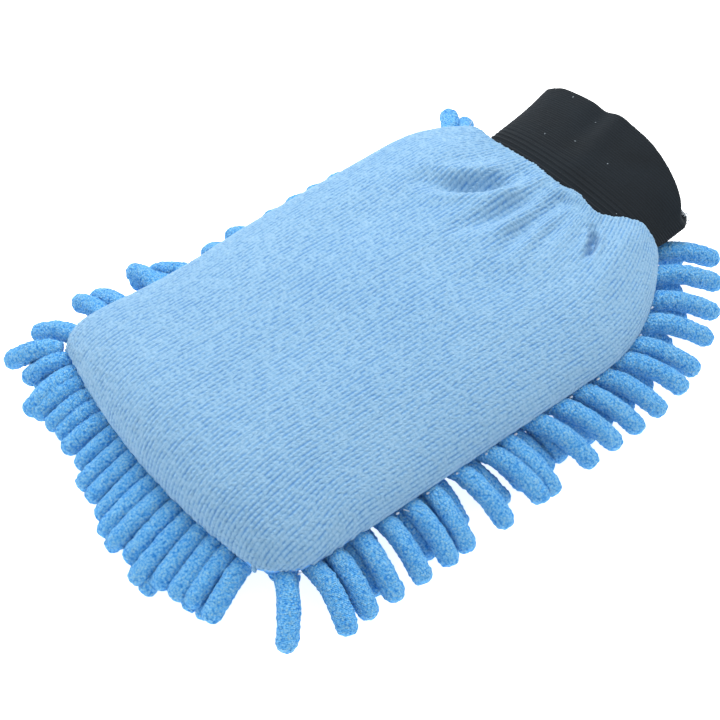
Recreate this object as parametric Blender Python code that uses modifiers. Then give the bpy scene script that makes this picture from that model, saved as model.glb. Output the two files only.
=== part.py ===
"""Chenille wash mitt, lying on its chenille palm with the knitted cuff towards +X.

Metres, +Z up. The back is a shell of ribbed terry cloth, the palm a flat backing cloth that carries
rows of chenille fingers. Both have a thin lining, and a doubled elastic cuff is sewn into the open end.
The mitt is built with its finger end at -X and is then centred over its own footprint.
"""

import math

import bmesh
import bpy
from mathutils import Vector

# The pouch, seen from above
POUCH_LENGTH = 0.236
FINGER_END = -0.130
NECK_END = FINGER_END + POUCH_LENGTH
HALF_WIDTH_FINGER = 0.081
HALF_WIDTH_MIDDLE = 0.0845
HALF_WIDTH_NECK = 0.079
FINGER_CORNER = 0.030
SHOULDER = 0.022

# The pouch, seen from the end
BACKING_BOTTOM = 0.0240
BACKING_THICK = 0.0016
SEAM_HEIGHT = 0.0260
CROWN = 0.022
NECK_CROWN = 0.019
NECK_BLEND = 0.040
FINGER_ROLL = 0.032
TERRY_THICK = 0.0026
LINING_THICK = 0.0008
CLOTH_GAP = 0.0004
BODY_POWERS = (2.4, 1.9)
NECK_POWERS = (3.2, 2.2)

# Linings and seam allowances
BACK_LINING_RIM = 0.0292
PALM_LINING_INSET = 0.011
PALM_LINING_BOTTOM = 0.0270
LINING_END = 0.0913
ALLOWANCE_INSET = 0.0046
ALLOWANCE_WIDTH = 0.0048
ALLOWANCE_BOTTOM = 0.0259
ALLOWANCE_THICK = 0.0020

# The cuff, a band of elastic knit folded double at the mouth
CUFF_START = 0.097
CUFF_LENGTH = 0.058
CUFF_HALF_WIDTHS = (0.050, 0.048)
CUFF_HALF_HEIGHTS = (0.0076, 0.0110)
CUFF_HEIGHT_OF_CENTRE = (0.0337, 0.0290)
CUFF_LEAN = 0.012
CUFF_HELD = 0.20
CUFF_MOUTH_BULGE = 0.008
CUFF_POWER = 2.2
CUFF_LAYER = 0.0014
CUFF_LAYER_GAP = 0.0004
CUFF_WALL = 2 * CUFF_LAYER + CUFF_LAYER_GAP
JOIN_SEAM_START = 0.0916
JOIN_SEAM_WIDTH = 0.0050
SIDE_SEAM_RADIUS = 0.0012
SIDE_SEAM_INSET = 0.0045
CUFF_BODY = 0.6
SIDE_SEAM_SHARES = (0.06, CUFF_HELD, CUFF_BODY, 0.94)

# The chenille rows
ROWS = 14
ROW_PITCH = 0.0158
FIRST_ROW = FINGER_END + 0.0113
FINGER_PITCH = 0.0096
FINGER_RADIUS = 0.00435
ROW_MARGIN = 0.0075
SPINE_WIDTH = 0.0054
SPINE_BOTTOM = 0.0208
SPINE_TOP = BACKING_BOTTOM - CLOTH_GAP
FINGER_TOP_CUT = 0.0234
ROOT_ABOVE_CUT = 0.0040
TIP_BELOW_FLOOR = 0.0060
TIP_HEIGHT = 0.0052
LONGEST_LEAN = 0.042
LEAN_ALONG = (0.008, 0.033)
LEAN_ACROSS = (0.008, 0.026)
LEAN_POWERS = (7, 5)
FRINGE_STEPS = 3
UPPER_DROP_POWER = 1.5
LOWER_REACH_POWER = 1.8
TIP_TAPER = 0.6
SPINE_PAST_FINGER = 0.8 * FINGER_RADIUS
STITCH_RADIUS = 0.0004
STITCH_HEIGHT = 0.0263
STITCH_SHARE = 0.86

# Mesh fineness
CORNER_STEPS = 6
MIDDLE_STEPS = 7
SHOULDER_STEPS = 3
STATION_CLEARANCE = 0.001
ARCH_STEPS = 14
CUFF_STEPS = 28
SHARP_ANGLE = 40
MERGE_DISTANCE = 1e-6
CUT_DISTANCE = 1e-7
SLIVER = 1e-5
CUTTER_SIZE = (0.6, 0.4, 0.02)

# Linear colour and roughness of each material
FINISHES = {
    "terry": ((0.29, 0.53, 0.81), 0.95),
    "chenille": ((0.10, 0.38, 0.76), 0.95),
    "lining": ((0.60, 0.68, 0.76), 0.8),
    "cuff_knit": ((0.024, 0.032, 0.042), 0.9),
    "seam_thread": ((0.16, 0.36, 0.66), 0.7),
}


def clear_scene():
    """Removes whatever the scene starts with."""
    for obj in list(bpy.data.objects):
        bpy.data.objects.remove(obj)


def new_collection(name):
    """A collection linked to the scene."""
    made = bpy.data.collections.new(name)
    bpy.context.scene.collection.children.link(made)
    return made


def make_material(name, colour, roughness):
    """A Principled material of one colour."""
    material = bpy.data.materials.new(name)
    material.use_nodes = True
    shader = material.node_tree.nodes["Principled BSDF"]
    shader.inputs["Base Color"].default_value = (*colour, 1.0)
    shader.inputs["Roughness"].default_value = roughness
    shader.inputs["Metallic"].default_value = 0.0
    return material


def add_object(name, data, material, collection):
    """Links new data as a named object with its material."""
    obj = bpy.data.objects.new(name, data)
    collection.objects.link(obj)
    data.materials.append(material)
    return obj


def mesh_from(bm, name):
    """Turns a bmesh into a mesh and frees it."""
    mesh = bpy.data.meshes.new(name)
    bm.to_mesh(mesh)
    bm.free()
    mesh.shade_smooth()
    mesh.set_sharp_from_angle(angle=math.radians(SHARP_ANGLE))
    return mesh


def between(low, high, share):
    """The value that lies share of the way from low to high."""
    return low + (high - low) * share


def smooth(share):
    """An S curve from 0 to 1, held flat outside that range."""
    share = min(max(share, 0.0), 1.0)
    return share * share * (3 - 2 * share)


def corner_loss(distance, radius):
    """How far a round corner of that radius has drawn in, this distance from the end."""
    if distance >= radius:
        return 0.0
    left = 1 - max(distance, 0.0) / radius
    return radius * (1 - math.sqrt(1 - left * left))


def half_width(x, inset=0.0):
    """Half the pouch's width at x, for an outline drawn in by inset."""
    share = (x - FINGER_END) / POUCH_LENGTH
    belly = 4 * share * (1 - share)
    straight = between(HALF_WIDTH_FINGER, HALF_WIDTH_NECK, share)
    middle = (HALF_WIDTH_FINGER + HALF_WIDTH_NECK) / 2
    width = straight + (HALF_WIDTH_MIDDLE - middle) * belly - inset
    width -= corner_loss(x - FINGER_END - inset, FINGER_CORNER - inset)
    return width - corner_loss(NECK_END - x, SHOULDER)


def rise(x):
    """The crown's height at x as a share of its full height, round at the finger end."""
    share = (x - FINGER_END) / FINGER_ROLL
    if share >= 1:
        return 1.0
    left = 1 - max(share, 0.0)
    return (1 - left ** BODY_POWERS[0]) ** (1 / BODY_POWERS[1])


def crown_height(x):
    """Height of the back's crown above the seam at x."""
    towards_neck = smooth((x - NECK_END + NECK_BLEND) / NECK_BLEND)
    return between(CROWN, NECK_CROWN, towards_neck) * rise(x)


def section_powers(x):
    """The superellipse powers of the back's section at x: fuller where it wraps the cuff."""
    towards_neck = smooth((x - NECK_END + NECK_BLEND) / NECK_BLEND)
    return [between(a, b, towards_neck) for a, b in zip(BODY_POWERS, NECK_POWERS)]


def signed_power(value, power):
    """value to that power, keeping its sign."""
    return math.copysign(abs(value) ** power, value)


def stations(inset, end):
    """Places along X for an outline drawn in by inset: closer together round its corners."""
    start = FINGER_END + inset
    corner = FINGER_CORNER - inset
    quarter = math.pi / 2
    arc = [start + corner * (1 - math.cos(quarter * i / CORNER_STEPS)) for i in range(CORNER_STEPS)]
    first = start + corner
    last = NECK_END - SHOULDER
    middle = [between(first, last, i / MIDDLE_STEPS) for i in range(MIDDLE_STEPS)]
    angles = [quarter * i / SHOULDER_STEPS for i in range(SHOULDER_STEPS + 1)]
    shoulder = [last + SHOULDER * math.sin(angle) for angle in angles]
    return [x for x in arc + middle + shoulder if x < end - STATION_CLEARANCE] + [end]


def arch_surface():
    """The outside of the pouch's back as an open domed sheet over the seam line."""
    columns = stations(0.0, NECK_END)
    bm = bmesh.new()
    bmesh.ops.create_grid(bm, x_segments=len(columns) - 1, y_segments=ARCH_STEPS, size=1.0)
    for vertex in bm.verts:
        column = round((vertex.co.x + 1) / 2 * (len(columns) - 1))
        turn = math.pi * (vertex.co.y + 1) / 2
        x = columns[column]
        across, up = section_powers(x)
        vertex.co = (
            x,
            -half_width(x) * signed_power(math.cos(turn), 2 / across),
            SEAM_HEIGHT + crown_height(x) * max(math.sin(turn), 0.0) ** (2 / up),
        )
    bmesh.ops.recalc_face_normals(bm, faces=bm.faces)
    if sum(face.normal.z for face in bm.faces) < 0:
        bmesh.ops.reverse_faces(bm, faces=bm.faces)
    bm.normal_update()
    return bm


def add_shell(name, bm, thickness, material, collection):
    """Gives an open sheet its thickness, inwards."""
    obj = add_object(name, mesh_from(bm, name), material, collection)
    wall = obj.modifiers.new("cloth", "SOLIDIFY")
    wall.thickness = thickness
    wall.offset = -1.0
    return obj


def make_back_lining(material, collection):
    """The lining under the terry, trimmed clear of the side seam and of the cuff's seam."""
    bm = arch_surface()
    moved = [(vertex, vertex.co - vertex.normal * (TERRY_THICK + CLOTH_GAP)) for vertex in bm.verts]
    for vertex, place in moved:
        vertex.co = place
    for place, side in (((0, 0, BACK_LINING_RIM), (0, 0, -1)), ((LINING_END, 0, 0), (1, 0, 0))):
        bmesh.ops.bisect_plane(
            bm,
            geom=bm.verts[:] + bm.edges[:] + bm.faces[:],
            dist=MERGE_DISTANCE,
            plane_co=place,
            plane_no=side,
            clear_outer=True,
        )
    bmesh.ops.dissolve_degenerate(bm, dist=SLIVER, edges=bm.edges)
    return add_shell("back_lining", bm, LINING_THICK, material, collection)


def palm_outline(inset, end):
    """Points round the palm from the neck's -Y side, round the finger end, to its +Y side."""
    side = [(x, half_width(x, inset)) for x in stations(inset, end)]
    return [(x, -y) for x, y in reversed(side)] + side


def make_flat_piece(name, outline, bottom, thickness, material, collection):
    """A flat piece of cloth cut to a closed outline."""
    curve = bpy.data.curves.new(name, "CURVE")
    curve.dimensions = "2D"
    curve.fill_mode = "BOTH"
    curve.extrude = thickness / 2
    spline = curve.splines.new("POLY")
    spline.points.add(len(outline) - 1)
    for point, (x, y) in zip(spline.points, outline):
        point.co = (x, y, 0.0, 1.0)
    spline.use_cyclic_u = True
    obj = add_object(name, curve, material, collection)
    obj.location.z = bottom + thickness / 2
    return obj


def make_tube(name, path, radius, sides_setting, material, collection):
    """A round thread or roll along a list of points."""
    curve = bpy.data.curves.new(name, "CURVE")
    curve.dimensions = "3D"
    curve.bevel_depth = radius
    curve.bevel_resolution = sides_setting
    curve.use_fill_caps = True
    spline = curve.splines.new("POLY")
    spline.points.add(len(path) - 1)
    for point, place in zip(spline.points, path):
        point.co = (*place, 1.0)
    return add_object(name, curve, material, collection)


def cuff_section(share):
    """(centre, half width, half height) of the cuff this share of the way to its mouth."""
    clear = smooth((share - CUFF_HELD) / (1 - CUFF_HELD))
    centre = Vector((
        CUFF_START + CUFF_LENGTH * share,
        CUFF_LEAN * smooth(share),
        between(*CUFF_HEIGHT_OF_CENTRE, clear),
    ))
    return centre, between(*CUFF_HALF_WIDTHS, share), between(*CUFF_HALF_HEIGHTS, clear)


def cuff_point(share, turn, depth):
    """A point of the cuff: share along it, turned about it, and depth inside its outer face."""
    centre, wide, high = cuff_section(share)
    across = signed_power(math.cos(turn), 2 / CUFF_POWER) * (wide - depth)
    up = signed_power(math.sin(turn), 2 / CUFF_POWER) * (high - depth)
    bulge = CUFF_MOUTH_BULGE * max(share, 0.0) ** 2 * math.cos(across / wide * math.pi / 2)
    return centre + Vector((bulge - CUFF_MOUTH_BULGE * max(share, 0.0) ** 2, across, up))


def add_cutter(name, size, centre, collection):
    """A box for cutting with."""
    bm = bmesh.new()
    bmesh.ops.create_cube(bm, size=1.0)
    bmesh.ops.scale(bm, vec=size, verts=bm.verts)
    mesh = bpy.data.meshes.new(name)
    bm.to_mesh(mesh)
    bm.free()
    box = bpy.data.objects.new(name, mesh)
    collection.objects.link(box)
    box.location = centre
    box.hide_render = True
    box.display_type = "WIRE"
    return box


def make_ring(name, profile, material, collection):
    """A closed ring round the cuff's axis from a closed profile of (share, depth) points."""
    bm = bmesh.new()
    loops = []
    for share, depth in profile:
        turns = [2 * math.pi * i / CUFF_STEPS for i in range(CUFF_STEPS)]
        loops.append([bm.verts.new(cuff_point(share, turn, depth)) for turn in turns])
    for i, loop in enumerate(loops):
        following = loops[(i + 1) % len(loops)]
        for j in range(CUFF_STEPS):
            k = (j + 1) % CUFF_STEPS
            bm.faces.new((loop[j], loop[k], following[k], following[j]))
    bmesh.ops.recalc_face_normals(bm, faces=bm.faces)
    return add_object(name, mesh_from(bm, name), material, collection)


def make_cuff(materials, collection):
    """The doubled cuff, the seam that joins it to the pouch, and the seam up its side."""
    fold = CUFF_WALL / 2 / CUFF_LENGTH
    slit = (CUFF_LAYER + CUFF_LAYER_GAP / 2) / CUFF_LENGTH
    make_ring("cuff", [
        (0.0, 0.0),
        (CUFF_HELD, 0.0),
        (CUFF_BODY, 0.0),
        (1.0 - fold, 0.0),
        (1.0, CUFF_WALL / 2),
        (1.0 - fold, CUFF_WALL),
        (CUFF_BODY, CUFF_WALL),
        (CUFF_HELD, CUFF_WALL),
        (0.0, CUFF_WALL),
        (0.0, CUFF_WALL - CUFF_LAYER),
        (CUFF_HELD, CUFF_WALL - CUFF_LAYER),
        (CUFF_BODY, CUFF_WALL - CUFF_LAYER),
        (1.0 - slit, CUFF_WALL - CUFF_LAYER),
        (1.0 - slit, CUFF_LAYER),
        (CUFF_BODY, CUFF_LAYER),
        (CUFF_HELD, CUFF_LAYER),
        (0.0, CUFF_LAYER),
    ], materials["cuff_knit"], collection)
    first = (JOIN_SEAM_START - CUFF_START) / CUFF_LENGTH
    last = first + JOIN_SEAM_WIDTH / CUFF_LENGTH
    make_ring("cuff_join_seam", [
        (first, 0.0),
        (last, 0.0),
        (last, CUFF_WALL),
        (first, CUFF_WALL),
    ], materials["seam_thread"], collection)
    inside = CUFF_WALL + SIDE_SEAM_INSET
    path = [cuff_point(share, math.pi, inside) for share in SIDE_SEAM_SHARES]
    make_tube("cuff_side_seam", path, SIDE_SEAM_RADIUS, 1, materials["cuff_knit"], collection)


def make_pouch(materials, collection, cutters):
    """The terry back, the backing cloth, both linings and the seam allowance between them."""
    back = add_shell("back_panel", arch_surface(), TERRY_THICK, materials["terry"], collection)
    below = add_cutter(
        "below_seam", CUTTER_SIZE, (0.0, 0.0, SEAM_HEIGHT - CUTTER_SIZE[2] / 2), cutters
    )
    trim = back.modifiers.new("seam_edge", "BOOLEAN")
    trim.operation = "DIFFERENCE"
    trim.solver = "EXACT"
    trim.object = below
    make_back_lining(materials["lining"], collection)
    make_flat_piece(
        "palm_backing", palm_outline(0.0, NECK_END), BACKING_BOTTOM, BACKING_THICK,
        materials["chenille"], collection,
    )
    make_flat_piece(
        "palm_lining", palm_outline(PALM_LINING_INSET, LINING_END), PALM_LINING_BOTTOM,
        LINING_THICK, materials["lining"], collection,
    )
    outer = palm_outline(ALLOWANCE_INSET, LINING_END)
    inner = palm_outline(ALLOWANCE_INSET + ALLOWANCE_WIDTH, LINING_END)
    make_flat_piece(
        "edge_seam_allowance", outer + inner[::-1], ALLOWANCE_BOTTOM, ALLOWANCE_THICK,
        materials["seam_thread"], collection,
    )


def lean_of(x, y):
    """How far a finger's tip lies from under its root: fingers spread outwards from the middle."""
    last_row = FIRST_ROW + (ROWS - 1) * ROW_PITCH
    along = 2 * (x - FIRST_ROW) / (last_row - FIRST_ROW) - 1
    across = y / (half_width(x) - ROW_MARGIN)
    lean = Vector((
        LEAN_ALONG[0] * along + LEAN_ALONG[1] * along ** LEAN_POWERS[0],
        LEAN_ACROSS[0] * across + LEAN_ACROSS[1] * across ** LEAN_POWERS[1],
    ))
    if lean.length > LONGEST_LEAN:
        lean *= LONGEST_LEAN / lean.length
    return lean


def finger_path(x, y, place):
    """Points down a chenille finger. place is pressed under the palm, over the fringe or under it."""
    lean = lean_of(x, y)
    if place == "pressed":
        reach = SPINE_TOP - TIP_HEIGHT
        slope = Vector((lean.x / reach, lean.y / reach, -1.0))
        root = Vector((x, y, FINGER_TOP_CUT))
        return [root - slope * ROOT_ABOVE_CUT, root + slope * (FINGER_TOP_CUT + TIP_BELOW_FLOOR)]
    path = [Vector((x, y, FINGER_TOP_CUT + ROOT_ABOVE_CUT))]
    drop = FINGER_TOP_CUT - FINGER_RADIUS / 2 - TIP_HEIGHT
    for step in range(FRINGE_STEPS + 1):
        share = step / FRINGE_STEPS
        if place == "over":
            out, down = share, share ** UPPER_DROP_POWER
        else:
            out, down = share ** LOWER_REACH_POWER, 1 - (1 - share) ** 2
        path.append(Vector((
            x + lean.x * out,
            y + lean.y * out,
            FINGER_TOP_CUT - FINGER_RADIUS / 2 - drop * down,
        )))
    return path


def row_places(row):
    """(x, the y of each finger) of a row."""
    x = FIRST_ROW + row * ROW_PITCH
    count = int(2 * (half_width(x) - ROW_MARGIN) / FINGER_PITCH) + 1
    return x, [(i - (count - 1) / 2) * FINGER_PITCH for i in range(count)]


def place_of(row, index, count):
    """Whether a finger is in the fringe's upper or lower layer, or pressed under the palm."""
    from_side = min(index, count - 1 - index)
    from_end = min(row, ROWS - 1 - row)
    if from_end == 0 or from_side == 0:
        return "over"
    return "under" if from_end == 1 or from_side == 1 else "pressed"


def make_fingers(row, collection):
    """All the fingers of a row in one mesh, cut flat on the floor and inside the row's spine."""
    x, places = row_places(row)
    curve = bpy.data.curves.new("fingers", "CURVE")
    curve.dimensions = "3D"
    curve.bevel_depth = FINGER_RADIUS
    curve.bevel_resolution = 1
    curve.use_fill_caps = True
    for index, y in enumerate(places):
        path = finger_path(x, y, place_of(row, index, len(places)))
        spline = curve.splines.new("POLY")
        spline.points.add(len(path) - 1)
        for point, place in zip(spline.points, path):
            point.co = (*place, 1.0)
        if len(path) > 2:
            spline.points[-1].radius = TIP_TAPER
    tubes = bpy.data.objects.new("fingers", curve)
    collection.objects.link(tubes)
    graph = bpy.context.evaluated_depsgraph_get()
    mesh = bpy.data.meshes.new_from_object(tubes.evaluated_get(graph))
    bpy.data.objects.remove(tubes)
    bm = bmesh.new()
    bm.from_mesh(mesh)
    bmesh.ops.remove_doubles(bm, verts=bm.verts, dist=MERGE_DISTANCE)
    for height, side in ((0.0, -1.0), (FINGER_TOP_CUT, 1.0)):
        cut = bmesh.ops.bisect_plane(
            bm,
            geom=bm.verts[:] + bm.edges[:] + bm.faces[:],
            dist=CUT_DISTANCE,
            plane_co=(0.0, 0.0, height),
            plane_no=(0.0, 0.0, side),
            clear_outer=True,
        )["geom_cut"]
        edges = [part for part in cut if isinstance(part, bmesh.types.BMEdge)]
        bmesh.ops.holes_fill(bm, edges=edges, sides=0)
    bmesh.ops.recalc_face_normals(bm, faces=bm.faces)
    bm.to_mesh(mesh)
    bm.free()
    fingers = bpy.data.objects.new(f"fingers_{row + 1:02d}", mesh)
    collection.objects.link(fingers)
    fingers.hide_render = True
    fingers.display_type = "WIRE"
    return fingers


def make_row(row, materials, parts, cutters):
    """One chenille row: a spine under the backing cloth with its fingers, and its line of stitches."""
    x, places = row_places(row)
    reach = max(places) + SPINE_PAST_FINGER
    bm = bmesh.new()
    bmesh.ops.create_cube(bm, size=1.0)
    bmesh.ops.scale(bm, vec=(SPINE_WIDTH, 2 * reach, SPINE_TOP - SPINE_BOTTOM), verts=bm.verts)
    name = f"chenille_row_{row + 1:02d}"
    spine = add_object(name, mesh_from(bm, name), materials["chenille"], parts)
    spine.location = (x, 0.0, (SPINE_TOP + SPINE_BOTTOM) / 2)
    union = spine.modifiers.new("fingers", "BOOLEAN")
    union.operation = "UNION"
    union.solver = "EXACT"
    union.use_self = True
    union.object = make_fingers(row, cutters)
    ends = [(x, side * max(places) * STITCH_SHARE, STITCH_HEIGHT) for side in (-1, 1)]
    make_tube(
        f"row_stitch_{row + 1:02d}", ends, STITCH_RADIUS, 1, materials["seam_thread"], parts
    )


def centre_on_footprint(parts, cutters):
    """Moves everything so that the middle of the bounding box is over the origin."""
    bpy.context.view_layer.update()
    graph = bpy.context.evaluated_depsgraph_get()
    points = []
    for obj in parts.objects:
        mesh = bpy.data.meshes.new_from_object(obj.evaluated_get(graph))
        points += [obj.matrix_world @ vertex.co for vertex in mesh.vertices]
        bpy.data.meshes.remove(mesh)
    middle = [(min(p[k] for p in points) + max(p[k] for p in points)) / 2 for k in range(2)]
    anchor = bpy.data.objects.new("mitt", None)
    parts.objects.link(anchor)
    for obj in list(parts.objects) + list(cutters.objects):
        if obj is not anchor:
            obj.parent = anchor
    anchor.location = (-middle[0], -middle[1], 0.0)


def main():
    """Builds the mitt."""
    clear_scene()
    parts = new_collection("wash_mitt")
    cutters = new_collection("boolean_helpers")
    materials = {name: make_material(name, *finish) for name, finish in FINISHES.items()}
    make_pouch(materials, parts, cutters)
    make_cuff(materials, parts)
    for row in range(ROWS):
        make_row(row, materials, parts, cutters)
    centre_on_footprint(parts, cutters)


main()
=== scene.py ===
"""Chenille wash mitt lying on its chenille palm, with the knitted cuff towards +X.

The frame holds the mitt's solids. This script lays the cloth, the chenille and the knit over them.
Metres, +Z up.
"""

import logging
import math
from dataclasses import dataclass, field
from enum import Enum

import bmesh
import bpy
import numpy as np
from mathutils import Matrix, Vector


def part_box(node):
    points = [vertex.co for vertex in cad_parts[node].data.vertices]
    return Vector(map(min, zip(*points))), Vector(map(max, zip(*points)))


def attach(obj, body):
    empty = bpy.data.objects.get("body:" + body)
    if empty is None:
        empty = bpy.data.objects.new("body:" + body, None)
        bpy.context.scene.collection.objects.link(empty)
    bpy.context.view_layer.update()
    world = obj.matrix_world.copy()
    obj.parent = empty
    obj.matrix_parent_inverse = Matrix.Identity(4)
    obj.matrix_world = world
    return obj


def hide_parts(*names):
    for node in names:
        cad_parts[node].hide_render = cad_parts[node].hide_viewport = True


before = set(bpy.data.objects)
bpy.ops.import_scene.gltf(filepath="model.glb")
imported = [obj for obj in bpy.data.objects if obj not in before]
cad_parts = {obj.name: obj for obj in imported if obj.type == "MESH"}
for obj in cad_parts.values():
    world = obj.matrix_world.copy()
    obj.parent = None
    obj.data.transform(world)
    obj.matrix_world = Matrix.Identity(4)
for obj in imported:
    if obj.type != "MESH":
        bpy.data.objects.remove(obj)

log = logging.getLogger("wash_mitt")
MM = 0.001
UP = Vector((0, 0, 1))
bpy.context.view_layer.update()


class Detail(Enum):
    """How finely a chenille finger is rounded off."""

    HIDDEN = 1
    SHOWN = 2


class Coordinates(Enum):
    """What a pattern is laid out on."""

    OBJECT = "Object"
    WEAVE = "weave"
    STRAND = "strand"


# ---------------------------------------------------------------- small helpers


def linear(code: str) -> tuple[float, float, float, float]:
    """A linear colour from an sRGB hex code.

    Args:
        code: the colour as six hex digits.

    Returns:
        Red, green, blue and alpha, linear.
    """
    parts = [int(code[i : i + 2], 16) / 255 for i in (0, 2, 4)]
    turned = [c / 12.92 if c <= 0.04045 else ((c + 0.055) / 1.055) ** 2.4 for c in parts]
    return (*turned, 1.0)


def eased(share: np.ndarray | float) -> np.ndarray | float:
    """An S curve from 0 to 1, flat outside that range."""
    held = np.clip(share, 0.0, 1.0)
    return held * held * (3 - 2 * held)


def scatter(cells: np.ndarray, seed: int) -> np.ndarray:
    """A steady random number from 0 to 1 for each whole-number cell.

    Args:
        cells: whole numbers, with the cell's axes last, of which the first three count.
        seed: picks another set of numbers.

    Returns:
        One number for each cell.
    """
    mixed = np.full(cells.shape[:-1], seed * 2654435761 % 2**32, np.uint64)
    for axis, prime in enumerate((73856093, 19349663, 83492791)[: cells.shape[-1]]):
        mixed ^= (cells[..., axis].astype(np.int64) * prime).astype(np.uint64) & np.uint64(0xFFFFFFFF)
        mixed = (mixed * np.uint64(2246822519) + np.uint64(374761393)) & np.uint64(0xFFFFFFFF)
        mixed ^= mixed >> np.uint64(13)
    return (mixed & np.uint64(0xFFFFFF)).astype(float) / float(0xFFFFFF)


def rough(points: np.ndarray, size: float, seed: int) -> np.ndarray:
    """Soft random bumps, from -1 to 1.

    Args:
        points: places, with x, y, z last.
        size: how wide one bump is.
        seed: picks another field of bumps.

    Returns:
        The bumps' height at each place.
    """
    scaled = points / size
    low = np.floor(scaled)
    part = eased(scaled - low)
    total = np.zeros(points.shape[:-1])
    for corner in np.ndindex(2, 2, 2):
        weight = np.prod(np.where(np.array(corner) == 1, part, 1 - part), axis=-1)
        total += weight * scatter(low + np.array(corner), seed)
    return total * 2 - 1


def unit(vectors: np.ndarray) -> np.ndarray:
    """Vectors scaled to length 1."""
    return vectors / np.maximum(np.linalg.norm(vectors, axis=-1, keepdims=True), 1e-12)


def new_object(name: str, mesh: bpy.types.Mesh, material: bpy.types.Material) -> bpy.types.Object:
    """Puts a mesh into the scene as a smooth-shaded piece.

    Args:
        name: the piece's name.
        mesh: its mesh, already in place.
        material: what it is made of.

    Returns:
        The piece.
    """
    piece = bpy.data.objects.new(name, mesh)
    bpy.context.scene.collection.objects.link(piece)
    mesh.shade_smooth()
    mesh.materials.clear()
    mesh.materials.append(material)
    return piece


def mesh_of(bm: bmesh.types.BMesh, name: str) -> bpy.types.Mesh:
    """Turns a bmesh into a mesh and frees it."""
    mesh = bpy.data.meshes.new(name)
    bm.to_mesh(mesh)
    bm.free()
    return mesh


def sheet_grid(name: str, places: np.ndarray, around: bool = False) -> bpy.types.Mesh:
    """A cloth grid laid over rows and columns of places.

    Args:
        name: the mesh's name.
        places: rows x columns x 3, in metres.
        around: whether the last column meets the first, as in a tube.

    Returns:
        The mesh. Its point attribute "cell" holds each vertex's row and column.
    """
    rows, columns = places.shape[:2]
    bm = bmesh.new()
    bmesh.ops.create_grid(bm, x_segments=rows - 1, y_segments=columns - 1, size=1.0)
    cell = bm.verts.layers.int.new("cell")
    for vertex in bm.verts:
        i = round((vertex.co.x + 1) / 2 * (rows - 1))
        j = round((vertex.co.y + 1) / 2 * (columns - 1))
        vertex[cell] = i * columns + j
        vertex.co = places[i, j]
    if around:
        bmesh.ops.remove_doubles(bm, verts=bm.verts, dist=1e-7)
    bm.faces.index_update()
    return mesh_of(bm, name)


def write_weave(mesh: bpy.types.Mesh, across: np.ndarray, along: np.ndarray) -> None:
    """Writes the cloth's own coordinates as a UV map called weave.

    Args:
        mesh: a mesh from sheet_grid.
        across: rows x columns, counted in ribs.
        along: rows x columns, counted in stitches.
    """
    cells = np.empty(len(mesh.vertices), np.int32)
    mesh.attributes["cell"].data.foreach_get("value", cells)
    corners = np.empty(len(mesh.loops), np.int32)
    mesh.loops.foreach_get("vertex_index", corners)
    pairs = np.stack([across.ravel(), along.ravel()], axis=-1)[cells[corners]]
    layer = mesh.uv_layers.new(name=Coordinates.WEAVE.value)
    layer.data.foreach_set("uv", pairs.astype(np.float32).ravel())
    mesh.attributes.remove(mesh.attributes["cell"])


def outward(mesh: bpy.types.Mesh, up: Vector | None = None) -> None:
    """Turns a mesh's faces outwards.

    Args:
        mesh: the mesh.
        up: for an open sheet, the way its faces should look.
    """
    bm = bmesh.new()
    bm.from_mesh(mesh)
    bmesh.ops.recalc_face_normals(bm, faces=bm.faces)
    if up is not None and sum(face.normal.dot(up) * face.calc_area() for face in bm.faces) < 0:
        bmesh.ops.reverse_faces(bm, faces=bm.faces)
    bm.to_mesh(mesh)
    bm.free()


def thicken(piece: bpy.types.Object, thickness: float, offset: float) -> None:
    """Gives a sheet its thickness with a live Solidify."""
    wall = piece.modifiers.new("cloth", "SOLIDIFY")
    wall.thickness = thickness
    wall.offset = offset
    wall.use_quality_normals = True


def cloth(
    name: str, places: np.ndarray, material: bpy.types.Material, thickness: float, offset: float = 0.0
) -> bpy.types.Object:
    """A flat-woven sheet laid over a grid of places.

    Args:
        name: the piece's name.
        places: rows x columns x 3, in metres.
        material: its cloth.
        thickness: its thickness.
        offset: which side of the places it lies on, from -1, under them, to 1.

    Returns:
        The piece.
    """
    mesh = sheet_grid(name, places)
    mesh.attributes.remove(mesh.attributes["cell"])
    outward(mesh, UP)
    piece = new_object(name, mesh, material)
    thicken(piece, thickness, offset)
    return piece


def settle(piece: bpy.types.Object, slot: str, *nodes: str) -> bpy.types.Object:
    """Puts a piece on the mitt's body and hides the CAD nodes it stands for."""
    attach(piece, "root")
    if nodes:
        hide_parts(*nodes)
    return piece


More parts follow.
